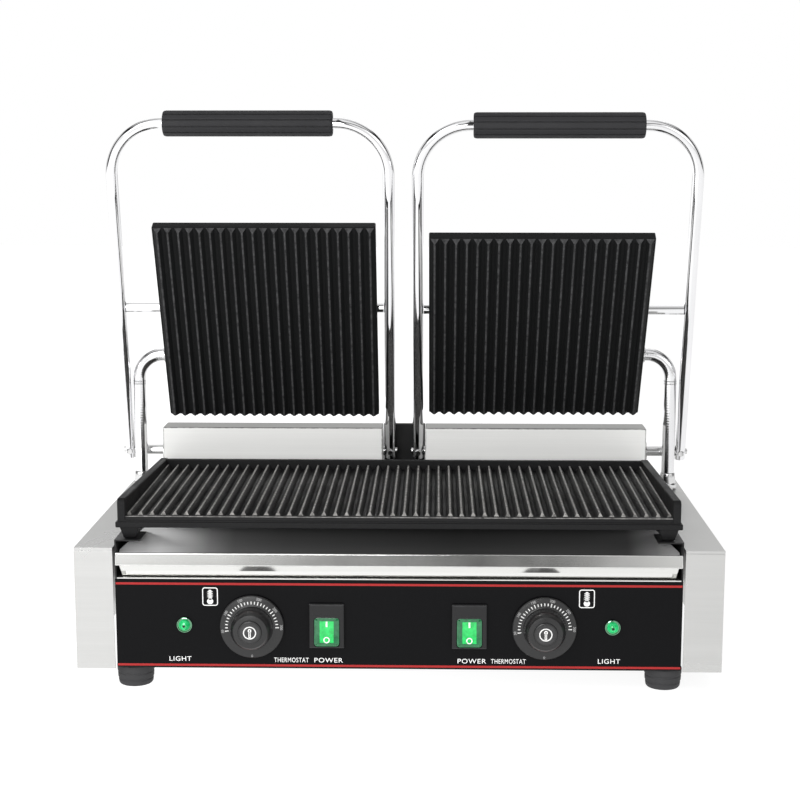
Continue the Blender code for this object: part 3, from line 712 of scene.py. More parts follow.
def make_side_shell(side, sign):
    """Side cover: front pillar, top and outer wall in one folded sheet, with a joint under the top."""
    low, high = body_box("side_cover_" + side)
    shell = block("side_shell_" + side, low, high)
    seam = high.z - 0.0022
    score(shell, (0, 0, seam), (0, 0, 1))
    score(shell, (0, 0, seam - 0.0006), (0, 0, 1))
    pick_faces(shell, lambda centre, normal: abs(centre.z - seam + 0.0003) < 0.0002)
    push(-0.0004)
    leave_edit()
    drop_faces(shell, lambda centre, normal: normal.z < -0.9 and centre.z < low.z + 0.001
               or normal.x * -sign > 0.9 and abs(centre.x) < abs(low.x + high.x) / 2 - 0.01)
    round_edges(shell, 0.0009, 2)
    outward_shell(shell)
    wall(shell, SHEET)
    for y in (0.055, 0.245):
        join(shell, screw_head("side_screw", (sign * 0.2799, y, 0.030), sign))
    mark_wear_and_highlights(shell, 0.0012)
    dress(on_body(shell), LOOKS["cover_steel"], "base", "stainless", "side_cover_" + side)


def outward_shell(piece):
    """An open shell's faces, pointed away from the inside."""
    pick_faces(piece, everything)
    bpy.ops.mesh.remove_doubles(threshold=DOUBLES)
    leave_edit()
    front = [face for face in piece.data.polygons if face.center.y < 0.0002 and abs(face.normal.y) > 0.9]
    if front and front[0].normal.y > 0:
        pick_faces(piece, everything)
        bpy.ops.mesh.flip_normals()
        leave_edit()


def screw_head(name, place, sign):
    """A pan head with a cross slot, on an outer side wall."""
    head = turned(name, [(0.0035, -0.0006), (0.0035, 0.0), (0.0030, 0.0003), (0.0018, 0.00046)], 20)
    return stand(head, place, (0.0, sign * math.pi / 2, 0.0))


def make_panel_trim():
    """The lines, words and signs on the control panel."""
    for name, z in (("upper", 0.0946), ("lower", 0.0214)):
        line = block("red_line_" + name, (-0.2455, PANEL_FACE - 0.00028, z - 0.0010),
                     (0.2455, PANEL_FACE - 0.00002, z + 0.0010), 0.0001)
        dress(on_body(line), LOOKS["red_line"], "base", "panel_black")
    words = {"left": (("LIGHT", -0.1906, 0.0268, 0.0193), ("THERMOSTAT", -0.0932, 0.0262, 0.0303),
                      ("POWER", -0.0609, 0.0262, 0.0249)),
             "right": (("LIGHT", 0.1834, 0.0268, 0.0193), ("THERMOSTAT", 0.0961, 0.0262, 0.0303),
                       ("POWER", 0.0641, 0.0262, 0.0249))}
    for side, sign in SIDES.items():
        for word, x, z, width in words[side]:
            write(word.lower() + "_word_" + side, word, 0.0059, (x, z), width)
        make_heat_sign(side, sign)


def raised_text(words, size, depth, swell, spacing=1.0):
    """Centred letters as a mesh; swell thickens their strokes."""
    deselect()
    bpy.ops.object.text_add()
    text = bpy.context.object
    text.data.body = words
    text.data.size = size
    text.data.align_x = "CENTER"
    text.data.align_y = "CENTER"
    text.data.space_character = spacing
    text.data.extrude = depth
    text.data.offset = swell
    bpy.ops.object.convert(target="MESH")
    return bpy.context.object


def write(name, words, size, place, width):
    """Printed letters, centred on a place on the panel and set to a width."""
    letters = raised_text(words, size, 0.00004, 0.00002, 1.12)
    letters.name = name
    letters.data.name = name
    span = letters.dimensions.x
    letters.scale = (width / span, 1.0, 1.0)
    apply_place(letters)
    stand(letters, (place[0], PANEL_FACE - 0.00006 + FRONT, place[1]), (math.pi / 2, 0.0, 0.0))
    dress(letters, LOOKS["white_print"], "base", "panel_black")


def make_heat_sign(side, sign):
    """A thermometer in a rounded outline."""
    x, z = sign * 0.1634, 0.0832
    outline = block("heat_sign_" + side, (x - 0.0068, 0.0, z - 0.0082), (x + 0.0068, 0.0002, z + 0.0082))
    pick_edges(outline, lambda a, b: abs(a.y - b.y) > 0.0001)
    bevel_picked(0.0022, 5)
    for facing in (-1.0, 1.0):
        pick_faces(outline, lambda centre, normal: normal.y * facing > 0.9)
        bpy.ops.mesh.inset(thickness=0.0008)
        leave_edit()
    pick_faces(outline, lambda centre, normal: abs(normal.y) > 0.9 and abs(centre.x - x) < 0.001
               and abs(centre.z - z) < 0.001)
    bpy.ops.mesh.bridge_edge_loops()
    leave_edit()
    bulb = turned("bulb", [(0.0027, 0.0), (0.0027, 0.0002)], 20)
    stand(bulb, (x, 0.0002, z - 0.0042), (math.pi / 2, 0.0, 0.0))
    stem = block("stem", (x - 0.0014, 0.0, z - 0.0030), (x + 0.0014, 0.0002, z + 0.0062))
    pick_edges(stem, lambda a, b: abs(a.y - b.y) > 0.0001 and a.z > z)
    bevel_picked(0.0013, 4)
    bars = block("bars", (x - 0.0024, 0.0, z - 0.0006), (x + 0.0024, 0.0002, z), 0.00005)
    repeat(bars, 4, (0, 0, 0.0016))
    join(outline, bulb, stem, bars)
    stand(outline, (0.0, PANEL_FACE - 0.00022 + FRONT, 0.0))
    dress(outline, LOOKS["white_print"], "base", "panel_black")


def make_foot(name, x, y):
    """A ribbed rubber foot."""
    top = 0.0177
    profile = [(0.0140, 0.0), (0.0150, 0.0012), (0.0154, 0.0040), (0.0150, 0.0046), (0.0150, 0.0056),
               (0.0158, 0.0062), (0.0160, 0.0100), (0.0156, 0.0106), (0.0156, 0.0116), (0.0163, 0.0122),
               (0.0165, 0.0165), (0.0160, top)]
    foot = turned(name, profile, 40)
    mark_wear_and_highlights(foot, 0.0007)
    stand(foot, (x, y + FRONT, 0.0))
    return foot


def make_feet():
    for side, sign in SIDES.items():
        for end, y in (("front", 0.019), ("back", 0.285)):
            foot = make_foot("rubber_foot_" + end + "_" + side, sign * 0.233, y)
            dress(foot, LOOKS["foot_rubber"], "base", "foot_rubber", "foot_" + end + "_" + side)


def make_rear():
    """Rear cover with rows of vent slots, and the ribbed nut of the cable gland."""
    low, high = body_box("rear_cover")
    cover = block("back_cover", low, high)
    drop_faces(cover, lambda centre, normal: normal.y < -0.9 or normal.z < -0.9 or abs(normal.x) > 0.9)
    round_edges(cover, 0.0015, 3)
    wall(cover)
    slot = block("vent_slot", (-0.0022, 0.29, 0.050), (0.0022, 0.32, 0.092), 0.0015, 3)
    repeat(slot, 9, (0.012, 0, 0))
    for x in (-0.150, 0.054):
        drill(cover, stand(copy_of(slot, "vent_row"), (x, 0, 0)))
    bpy.data.objects.remove(slot, do_unlink=True)
    drill(cover, rod("cable_hole", 0.0085, (-0.190, 0.29, 0.045), (-0.190, 0.32, 0.045)))
    mark_wear_and_highlights(cover, 0.0012)
    dress(on_body(cover), LOOKS["rear_steel"], "base", "stainless", "rear_cover")
    profile = [(0.0080, -0.0015), (0.0080, 0.0), (0.0110, 0.0003), (0.0110, 0.0050), (0.0104, 0.0056),
               (0.0100, 0.0068), (0.0098, 0.0128), (0.0085, 0.0166)]
    nut = turned("cable_nut", profile, 36)
    pick_faces(nut, lambda centre, normal: abs(normal.z) < 0.3 and 0.006 < centre.z < 0.013
               and int(round(math.degrees(math.atan2(centre.y, centre.x)) / 10 + 0.5)) % 2 == 0)
    bpy.ops.mesh.inset(thickness=0.0002, use_individual=True)
    push(-0.0005)
    leave_edit()
    drill(nut, rod("cable_bore", 0.0045, (0, 0, -0.02), (0, 0, 0.03)))
    stand(nut, (-0.190, 0.3053 + FRONT, 0.045), (-math.pi / 2, 0.0, 0.0))
    dress(nut, LOOKS["frame_black"], "base", "black_plastic", "cable_gland")


# Cooking plate and drip tray

def make_rib(name, start, stop, root, tip):
    """One tapered rib along Y, with rounded top edges that later get painted highlights (partly scraped
    metal), standing from a plate's floor.
    """
    rib = block(name, (-RIB_BASE / 2, start, root - 0.001), (RIB_BASE / 2, stop, tip))
    score(rib, (0, 0, root), (0, 0, 1))
    pick_faces(rib, lambda centre, normal: normal.z > 0.9)
    resize((RIB_TOP / RIB_BASE, 1.0, 1.0), (0.0, 0.0, tip))
    leave_edit()
    pick_edges(rib, lambda a, b: min(a.z, b.z) > tip - 0.0001 and abs(a.y - b.y) > 0.01)
    bevel_picked(0.00045, 2)
    return rib


def make_cooking_plate():
    """The lower plate: floor, flange, front lip, walls, corner bosses and a row of ribs."""
    back_wall = 0.2295
    plate = block("cooking_plate", (-0.2435, 0.005, 0.1435), (0.2435, 0.2356, RIB_ROOT), 0.0010, 3)
    flange = block("flange", (-0.245, 0.0038, 0.1435), (0.245, 0.040, 0.1485), 0.0008, 3)
    lip = block("lip", (-0.2405, 0.0054, 0.146), (0.2405, 0.0125, 0.1534))
    pick_faces(lip, lambda centre, normal: normal.z > 0.9)
    resize((1.0, 0.78, 1.0), (0.0, 0.0090, 0.1534))
    leave_edit()
    round_edges(lip, 0.0006, 2)
    back = block("back_wall", (-0.243, back_wall, 0.147), (0.243, 0.2354, 0.160), 0.0012, 3)
    rib = make_rib("plate_ribs", 0.0128, back_wall + 0.0006, RIB_ROOT, RIB_TIP)
    slice_off(rib, (0, 0.0134, RIB_ROOT + 0.0002), (0, -1, 1))
    repeat(rib, LOWER_RIBS, (RIB_PITCH, 0, 0))
    stand(rib, (-(LOWER_RIBS - 1) / 2 * RIB_PITCH, 0, 0))
    # Rib tips, their sloped front ends, and the lip and back wall edges get painted highlights, partly
    # scraped metal.
    mark_wear_and_highlights(rib, 0.0005, lambda centre, normal: normal.z > 0.5 and normal.y < -0.5)
    mark_wear_and_highlights(lip, 0.0006)
    mark_wear_and_highlights(back, 0.0005)
    parts = [flange, lip, back]
    for sign in SIDES.values():
        parts.append(make_plate_wall(sign))
        for y in (0.0145, 0.2180):
            parts.append(make_boss(sign, y))
    for part in [plate] + parts:
        part.data.materials.append(LOOKS["plate_iron"])
    rib.data.materials.append(LOOKS["rib_iron"])
    parts.append(rib)
    join(plate, *parts)
    dress(on_body(plate), LOOKS["plate_iron"], "base", "cast_iron", "lower_plate")


def make_plate_wall(sign):
    """A side wall that falls towards the back."""
    start, stop = sorted((sign * 0.2363, sign * 0.2434))
    side = block("plate_wall", (start, 0.0052, 0.147), (stop, 0.2355, 0.1690))
    drop = 0.0084 / 0.2303
    slice_off(side, (0, 0.0052, 0.1690), (0, drop, 1.0))
    slice_off(side, (0, 0.0052, 0.1660), (0, -1.0, 1.2))
    round_edges(side, 0.0011, 3)
    return side


def make_boss(sign, y):
    """A tapered corner boss that the plate is bolted down by."""
    deselect()
    bpy.ops.mesh.primitive_cone_add(vertices=4, radius1=0.0075, radius2=0.0125, depth=0.0119,
                                    rotation=(0, 0, math.pi / 4), location=(sign * 0.2335, y, 0.13905))
    boss = name_new("plate_boss")
    return round_edges(boss, 0.0009, 2)


def make_tray():
    """Drip tray: pan, folded front lip, and the sloping deck that runs back under the plate."""
    pan = block("tray", (-0.2380, 0.0030, 0.1010), (0.2380, 0.150, 0.1115))
    drop_faces(pan, lambda centre, normal: normal.z > 0.9)
    round_edges(pan, 0.0022, 3)
    wall(pan, 0.0010)
    parts = [make_tray_front(), make_tray_lip()]
    deck = make_tray_deck()
    for sign in SIDES.values():
        start, stop = sorted((sign * 0.2368, sign * 0.2382))
        parts.append(block("tray_end", (start, 0.003, 0.110), (stop, 0.149, 0.1145), 0.0005))
    for part in [pan] + parts:
        part.data.materials.append(LOOKS["tray_steel"])
    deck.data.materials.append(LOOKS["deck_steel"])
    join(pan, deck, *parts)
    mark_wear_and_highlights(pan, 0.0006)
    dress(on_body(pan), LOOKS["tray_steel"], "drip_tray", "stainless", "drip_tray")


def make_tray_front():
    """The band under the lip, leaning in towards its foot."""
    front = block("tray_front", (-0.2425, 0.0002, 0.1004), (0.2425, 0.0032, 0.1112))
    pick_faces(front, lambda centre, normal: normal.z < -0.9)
    slide((0, 0.0054, 0))
    resize((0.993, 1.0, 1.0), (0.0, 0.0071, 0.1004))
    leave_edit()
    return round_edges(front, 0.0009, 3)


def make_tray_lip():
    """The rolled upper edge of the tray's front."""
    lip = block("tray_lip", (-0.2455, -0.0012, 0.1108), (0.2455, 0.0026, 0.1220))
    pick_points(lip, lambda point: point.y < 0 and point.z > 0.12)
    slide((0, 0.0018, 0))
    leave_edit()
    return round_edges(lip, 0.0013, 4)


def make_tray_deck():
    """The sloping sheet that leads drips back from the plate into the pan."""
    deck = block("tray_deck", (-0.2440, 0.0008, 0.1125), (0.2440, 0.0150, 0.1137))
    pick_faces(deck, lambda centre, normal: normal.y > 0.9)
    slide((0, 0, 0.0078))
    extrude((0, 0.0305, 0.0167))
    resize((0.912, 1.0, 1.0), (0.0, 0.0455, 0.1370))
    leave_edit()
    return round_edges(deck, 0.0003, 2)


# Hinge boxes

def make_hinge_case(side, sign):
    """A folded box over the axle, with a sloping back."""
    low, high = body_box("hinge_box_" + side)
    case = block("hinge_case_" + side, low, high)
    slice_off(case, (0, 0.276, high.z), (0, high.z - 0.160, 0.300 - 0.276))
    drop_faces(case, lambda centre, normal: normal.z < -0.9)
    round_edges(case, 0.0010, 3)
    outward_box(case)
    wall(case)
    inner, outer = sign * BOX_INNER, sign * BOX_OUTER
    for x, radius in ((inner, 0.0056), (outer, 0.0083)):
        start, end = (x - 0.004, PIVOT_Y, PIVOT_Z), (x + 0.004, PIVOT_Y, PIVOT_Z)
        drill(case, rod("axle_hole", radius, start, end))
    mark_wear_and_highlights(case, 0.0007)
    # The top faces take the darker copy: painted shade where they would reflect the dark heads above.
    case.data.materials.append(LOOKS["box_steel"])
    case.data.materials.append(LOOKS["shaded_top_steel"])
    for face in case.data.polygons:
        face.material_index = 1 if face.normal.z > 0.5 else 0
    dress(on_body(case), None, "base", "stainless", "hinge_box_" + side)


def outward_box(piece):
    """Point an open box's faces away from its middle."""
    middle = sum((point.co for point in piece.data.vertices), Vector()) / len(piece.data.vertices)
    facing = sum((face.center - middle).dot(face.normal) * face.area for face in piece.data.polygons)
    if facing < 0:
        pick_faces(piece, everything)
        bpy.ops.mesh.flip_normals()
        leave_edit()


# Handles and heads

def handle_place(side):
    return joint_place("handle_hinge_" + side), (HANDLE_LEAN[side], 0.0, 0.0)


def head_place(side):
    return joint_place("head_tilt_" + side), (HEAD_LEAN[side], 0.0, 0.0)


def joint_place(name):
    joint = next(row for row in frame["joints"] if row["name"] == name)
    return Vector(joint["pos_m"])


def make_handle(side):
    """The bent tube: a disc extruded up the leg, spun round each bend and run down again."""
    corner_x = LEG_SPREAD - HANDLE_BEND
    corner_z = HANDLE_HEIGHT - HANDLE_BEND
    deselect()
    bpy.ops.mesh.primitive_circle_add(vertices=32, radius=TUBE_RADIUS, fill_type="NGON",
                                      location=(-LEG_SPREAD, 0.0, -LEG_TAIL))
    tube = name_new("chrome_handle_" + side)
    pick_faces(tube, everything)
    extrude((0, 0, corner_z + LEG_TAIL))
    bpy.ops.mesh.spin(steps=18, angle=math.pi / 2, center=(-corner_x, 0, corner_z), axis=(0, -1, 0))
    extrude((2 * corner_x, 0, 0))
    bpy.ops.mesh.spin(steps=18, angle=math.pi / 2, center=(corner_x, 0, corner_z), axis=(0, -1, 0))
    extrude((0, 0, -corner_z - LEG_TAIL))
    leave_edit()
    outward(tube)
    pick_edges(tube, lambda a, b: max(a.z, b.z) < -LEG_TAIL + 0.0001)
    bevel_picked(0.0008, 2)
    stand(tube, *handle_place(side))
    dress(tube, LOOKS["chrome"], "handle_" + side, "chrome", "handle_" + side)


def make_grip(side):
    """A rubber sleeve with twelve broad flutes and rounded ends."""
    flutes, per_flute, radius = 12, 5, 0.0122
    half = 0.0805
    deselect()
    bpy.ops.mesh.primitive_cylinder_add(vertices=flutes * per_flute, radius=radius, depth=2 * half)
    grip = name_new("rubber_grip_" + side)
    step = 2 * math.pi / (flutes * per_flute)
    pick_faces(grip, lambda centre, normal: abs(normal.z) < 0.3
               and int(math.atan2(centre.y, centre.x) % (2 * math.pi) / step) % per_flute == 0)
    push(-0.0013)
    leave_edit()
    round_edges(grip, 0.0004, 2, 40.0)
    for direction in (-1.0, 1.0):
        for inset, shrink in ((0.0030, 1.0), (0.0012, 0.97), (0.0003, 0.92)):
            score(grip, (0, 0, direction * (half - inset)), (0, 0, 1))
        for inset, shrink in ((0.0012, 0.97), (0.0003, 0.92), (0.0, 0.86)):
            pick_points(grip, lambda point: abs(point.z - direction * (half - inset)) < 0.0002)
            resize((shrink, shrink, 1.0), (0, 0, direction * half))
            leave_edit()
    drill(grip, rod("grip_bore", TUBE_RADIUS + 0.0004, (0, 0, -0.1), (0, 0, 0.1), 32))
    stand(grip, (0, 0, HANDLE_HEIGHT), (0.0, math.pi / 2, 0.0))
    stand(grip, *handle_place(side))
    mark_wear_and_highlights(grip, 0.0004)
    dress(grip, LOOKS["grip_rubber"], "handle_" + side, "grip_rubber", "grip_" + side)


def make_pivot_bolts(side, sign):
    """At the foot of each leg, the bolt into the axle and the hexagon screw that locks it."""
    for end, direction in (("inner", -sign), ("outer", sign)):
        bolt = turned("bolt_" + end + "_" + side, [(0.0031, 0.0), (0.0031, 0.0010), (0.0026, 0.0013)], 6)
        shank = turned("bolt_shank", [(0.0030, -0.0110), (0.0030, 0.0010)], 20)
        profile = [(0.0033, -0.0008), (0.0033, 0.0018), (0.0028, 0.0023), (0.0016, 0.0021)]
        pin = turned("leg_screw", profile, 6)
        join(bolt, shank)
        start = direction * (LEG_SPREAD + TUBE_RADIUS + GAP)
        stand(bolt, (start, 0, 0), (0.0, direction * math.pi / 2, 0.0))
        stand(pin, (direction * LEG_SPREAD, -TUBE_RADIUS, 0.0), (math.pi / 2, 0.0, 0.0))
        join(bolt, pin)
        stand(bolt, *handle_place(side))
        dress(bolt, LOOKS["bright_steel"], "handle_" + side, "bright_steel",
              "pivot_bolt_" + end + "_" + side)


def make_pressing_plate(side):
    """The ribbed plate of a head, in the head's own frame with its ribs along Z."""
    plate = block("pressing_plate_" + side, (-HEAD_HALF, -HEAD_FACE + UPPER_RIB_HEIGHT, -HEAD_HALF),
                  (HEAD_HALF, -0.022, HEAD_HALF), 0.0012, 3)
    rib = make_rib("plate_ribs", -HEAD_HALF + 0.0003, HEAD_HALF - 0.0003, 0.0, UPPER_RIB_HEIGHT)
    slice_off(rib, (0, HEAD_HALF - 0.0010, 0.0), (0, 1.0, 1.0))
    repeat(rib, UPPER_RIBS, (RIB_PITCH, 0, 0))
    stand(rib, (-(UPPER_RIBS - 1) / 2 * RIB_PITCH, 0, 0))
    stand(rib, (0, -HEAD_FACE + UPPER_RIB_HEIGHT, 0), (math.pi / 2, 0.0, 0.0))
    # Rib tips and sloped ends get painted highlight lines, partly scraped metal.
    mark_wear_and_highlights(rib, 0.0005, lambda centre, normal: normal.z > 0.5 and normal.y < -0.5)
    join(plate, rib)
    stand(plate, *head_place(side))
    dress(plate, LOOKS["head_iron"], "head_" + side, "cast_iron", "upper_plate_" + side)


def make_head_back(side, sign):
    """The stainless back of a head, sloping in at the top and bottom, held by four screws."""
    back = block("head_back_" + side, (-HEAD_BACK, -0.0217, -HEAD_BACK), (HEAD_BACK, HEAD_DEPTH, HEAD_BACK))
    score(back, (0, -0.012, 0), (0, 1, 0))
    pick_faces(back, lambda centre, normal: normal.y > 0.9)
    resize((1.0, 1.0, 0.066 / HEAD_BACK), (0.0, HEAD_DEPTH, 0.0))
    leave_edit()
    drop_faces(back, lambda centre, normal: normal.y < -0.9)
    round_edges(back, 0.0016, 3)
    outward_box(back)
    wall(back)
    drill(back, rod("rod_hole", 0.0056, (-0.11, 0, 0), (0.11, 0, 0)),
          rod("wire_hole", 0.0050, (sign * 0.08, *WIRE_ENTRY), (sign * 0.11, *WIRE_ENTRY)))
    for x in (-0.080, 0.080):
        for z in (-0.052, 0.052):
            screw = turned("cover_screw", [(0.0036, -0.0004), (0.0036, 0.0003), (0.0028, 0.0006)], 20)
            join(back, stand(screw, (x, HEAD_DEPTH, z), (-math.pi / 2, 0.0, 0.0)))
    mark_wear_and_highlights(back, 0.0011)
    stand(back, *head_place(side))
    dress(back, LOOKS["head_steel"], "head_" + side, "stainless", "head_cover_" + side)


def make_head_gland(side, sign):
    """A hexagon gland nut and its collar on the side of a head."""
    profile = [(0.0088, 0.0), (0.0095, 0.0006), (0.0095, 0.0058), (0.0088, 0.0064)]
    nut = turned("gland_nut_" + side, profile, 6)
    collar = turned("gland_collar", [(0.0080, 0.0060), (0.0080, 0.0110), (0.0074, 0.0118)], 32)
    join(nut, collar)
    stand(nut, (sign * (HEAD_BACK + GAP), *WIRE_ENTRY), (0.0, sign * math.pi / 2, 0.0))
    stand(nut, *head_place(side))
    dress(nut, LOOKS["bright_steel"], "head_" + side, "bright_steel", "head_gland_" + side)


# Conduits

def bent_path(route):
    """A curve through rows of (point, tangent, handle length)."""
    deselect()
    bpy.ops.curve.primitive_bezier_curve_add()
    path = bpy.context.object
    spline = path.data.splines[0]
    spline.bezier_points.add(len(route) - 2)
    path.data.resolution_u = 24
    for knot, (point, tangent, reach) in zip(spline.bezier_points, route):
        tangent = Vector(tangent).normalized()
        knot.handle_left_type = "FREE"
        knot.handle_right_type = "FREE"
        knot.co = point
        knot.handle_left = Vector(point) - tangent * reach
        knot.handle_right = Vector(point) + tangent * reach
    return path


def make_sleeve(name, route, radius):
    """One short step of the conduit's sleeve, repeated along a route."""
    path = bent_path(route)
    length = path.data.splines[0].calc_length()
    turns = max(1, round(length / CONDUIT_STEP))
    pitch = length / turns
    deselect()
    bpy.ops.mesh.primitive_cylinder_add(vertices=24, radius=radius * CONDUIT_WAIST, depth=pitch,
                                        end_fill_type="NOTHING", location=(0, 0, pitch / 2))
    tube = name_new(name)
    for part in (0.25, 0.75):
        score(tube, (0, 0, pitch * part), (0, 0, 1))
    pick_points(tube, lambda point: pitch * 0.2 < point.z < pitch * 0.8)
    resize((1 / CONDUIT_WAIST, 1 / CONDUIT_WAIST, 1.0), (0, 0, pitch / 2))
    leave_edit()
    apply_modifier(tube, "ARRAY", count=turns, use_relative_offset=True,
                   relative_offset_displace=(0, 0, 1), use_merge_vertices=True, merge_threshold=0.00002)
    apply_modifier(tube, "CURVE", object=path, deform_axis="POS_Z")
    bpy.data.objects.remove(path, do_unlink=True)
    close_ends(tube)
    return tube


def close_ends(piece):
    select_only(piece)
    bpy.context.tool_settings.mesh_select_mode = EDGES
    bpy.ops.object.mode_set(mode="EDIT")
    bpy.ops.mesh.select_all(action="DESELECT")
    bpy.ops.mesh.select_non_manifold()
    bpy.ops.mesh.fill_holes(sides=64)
    leave_edit()
    outward(piece)


def make_conduit(side, sign):
    """The conduit from the gland on the side cover, round a bend, to the gland on the head."""
    lower_low, lower_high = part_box("hose_lower_" + side)
    upper_low, upper_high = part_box("hose_upper_" + side)
    x = (lower_low.x + lower_high.x) / 2
    y = (lower_low.y + lower_high.y) / 2
    radius = (lower_high.x - lower_low.x) / 2
    joint = upper_low.z
    top = upper_high.z - radius
    end_x = upper_high.x if sign < 0 else upper_low.x
    bend, reach = CONDUIT_BEND, QUARTER_ARC * CONDUIT_BEND
    up, across = (0, 0, 1), (-sign, 0, 0)
    straight = [((x, y, lower_low.z), up, 0.02), ((x, y, joint), up, 0.02)]
    round_bend = [((x, y, joint), up, 0.0003), ((x, y, top - bend), up, reach),
                  ((x - sign * bend, y, top), across, reach), ((end_x, y, top), across, 0.0003)]
    lower = make_sleeve("conduit_lower_" + side, straight, radius)
    upper = make_sleeve("conduit_upper_" + side, round_bend, radius)
    for piece in (lower, upper):
        dress(piece, LOOKS["conduit"], None, "conduit")
    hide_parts("hose_lower_" + side)
    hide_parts("hose_upper_" + side)
    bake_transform(lower)
    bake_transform(upper)
    make_base_gland(side, x, y)


def make_base_gland(side, x, y):
    """The stepped gland that a conduit stands in."""
    gland_low, gland_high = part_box("base_gland_" + side)
    height = gland_high.z - gland_low.z
    gland = turned("conduit_gland_" + side, [(0.0092, 0.0), (0.0092, 0.0050), (0.0086, 0.0056),
                                             (0.0080, 0.0062), (0.0080, 0.0125), (0.0072, height)], 12)
    round_edges(gland, 0.0004, 2)
    stand(gland, (x, y, gland_low.z))
    mark_wear_and_highlights(gland, 0.0005)
    dress(gland, LOOKS["bright_steel"], "base", "bright_steel", "base_gland_" + side)


# Controls

def make_dial(side, sign):
    """A skirted dial with its scale, cap and pointer, built about Z and turned to face the front."""
    profile = [(0.0276, 0.0), (0.0280, 0.0004), (0.0280, 0.0014), (0.0274, 0.0022), (0.0240, 0.0030),
               (0.0196, 0.0037), (0.0189, 0.0042), (0.0186, 0.0060), (0.0180, 0.0110), (0.0168, 0.0150),
               (0.0146, 0.0176), (0.0112, 0.0184), (0.0104, 0.0182), (0.0102, 0.0187), (0.0099, 0.0193),
               (0.0086, 0.0198), (0.0010, 0.0199)]
    dial = turned("dial_" + side, profile, 72)
    mark_wear_and_highlights(dial, 0.0006)
    stand_on_panel(dial, sign)
    dress(dial, LOOKS["dial_black"], "knob_" + side, "black_plastic", "knob_" + side)
    make_dial_scale(side, sign)
    make_pointer(side, sign)


def stand_on_panel(piece, sign):
    """From the dial's own frame to its place on the panel."""
    return stand(piece, (sign * KNOB_X, -0.0005 + FRONT, KNOB_Z), (math.pi / 2, 0.0, 0.0))


def make_dial_scale(side, sign):
    """Ticks and numbers round the skirt, from 50 on the left over the top to 300 on the right."""
    first, last, numbers = -98.6, 90.0, 6
    ticks = 5 * (numbers - 1)
    scale = []
    for index in range(ticks + 1):
        angle = math.radians(first + (last - first) * index / ticks)
        long = index % 5 == 0
        inner, outer = (0.0204, 0.0236) if long else (0.0208, 0.0232)
        tick = block("tick", (-0.00042, inner, 0.0), (0.00042, outer, 0.0010), 0.0001)
        tick.data.materials.append(LOOKS["white_print"])
        stand(tick, (0, 0, 0.00265), (0.0, 0.0, -angle))
        scale.append(tick)
        if long:
            scale.append(scale_number(str(50 * (index // 5 + 1)), angle))
    scale.append(scale_number("0", math.pi))
    marks = join(scale[0], *scale[1:])
    marks.name = "dial_marks_" + side
    stand_on_panel(marks, sign)
    dress(marks, LOOKS["white_print"], "knob_" + side, "black_plastic")


def scale_number(words, angle):
    """A number on the skirt of a dial, turned to read from outside."""
    number = raised_text(words, 0.0031, 0.0004, 0.00008)
    apply_place(number)
    number.data.materials.append(LOOKS["grey_print"])
    stand(number, (0, 0.0256, 0.0026))
    return stand(number, (0, 0, 0), (0.0, 0.0, -angle))


def make_pointer(side, sign):
    """A white ring with a key-shaped pointer inside it, on the cap."""
    cap = 0.0199
    deselect()
    bpy.ops.mesh.primitive_torus_add(major_radius=0.0052, minor_radius=0.00052, major_segments=48,
                                     minor_segments=8, location=(0, 0, cap))
    ring = name_new("dial_pointer_" + side)
    bow = turned("bow", [(0.0016, cap - 0.0002), (0.0016, cap + 0.0003)], 20)
    stand(bow, (0, 0.0020, 0))
    drill(bow, rod("bow_hole", 0.0007, (0, 0.0020, 0.01), (0, 0.0020, 0.03), 16))
    stem = block("stem", (-0.0010, -0.0042, cap - 0.0002), (0.0010, 0.0010, cap + 0.0003), 0.0001)
    groove = block("groove", (-0.0003, -0.0036, cap - 0.001), (0.0003, 0.0004, cap + 0.001))
    drill(stem, groove)
    join(ring, bow, stem)
    stand_on_panel(ring, sign)
    dress(ring, LOOKS["white_print"], "knob_" + side, "black_plastic")


def make_switch(side, sign):
    """A switch frame with a sunk well, and its case behind the panel."""
    x = sign * SWITCH_X
    body = block("switch_frame_" + side, (x - 0.0153, -0.0022, 0.0380), (x + 0.0153, 0.0007, 0.0780),
                 0.0012, 3)
    case = block("switch_case", (x - 0.0134, 0.0, 0.0396), (x + 0.0134, 0.022, 0.0764), 0.0006)
    apply_modifier(body, "BOOLEAN", operation="UNION", solver="EXACT", object=case)
    bpy.data.objects.remove(case, do_unlink=True)
    well = block("switch_well", (x - 0.0113, -0.010, ROCKER_Z - 0.0132),
                 (x + 0.0113, 0.0110, ROCKER_Z + 0.0132))
    pick_edges(well, lambda a, b: abs(a.y - b.y) > 0.001)
    bevel_picked(0.0030, 5)
    drill(body, well)
    recess = block("recess", (x - 0.0125, -0.0024, ROCKER_Z + 0.0155), (x + 0.0125, -0.0020, 0.0762), 0.0001)
    drill(body, recess)
    mark_wear_and_highlights(body, 0.0006)
    dress(on_body(body), LOOKS["frame_black"], "base", "black_plastic", "switch_body_" + side)
    make_rocker(side, sign)


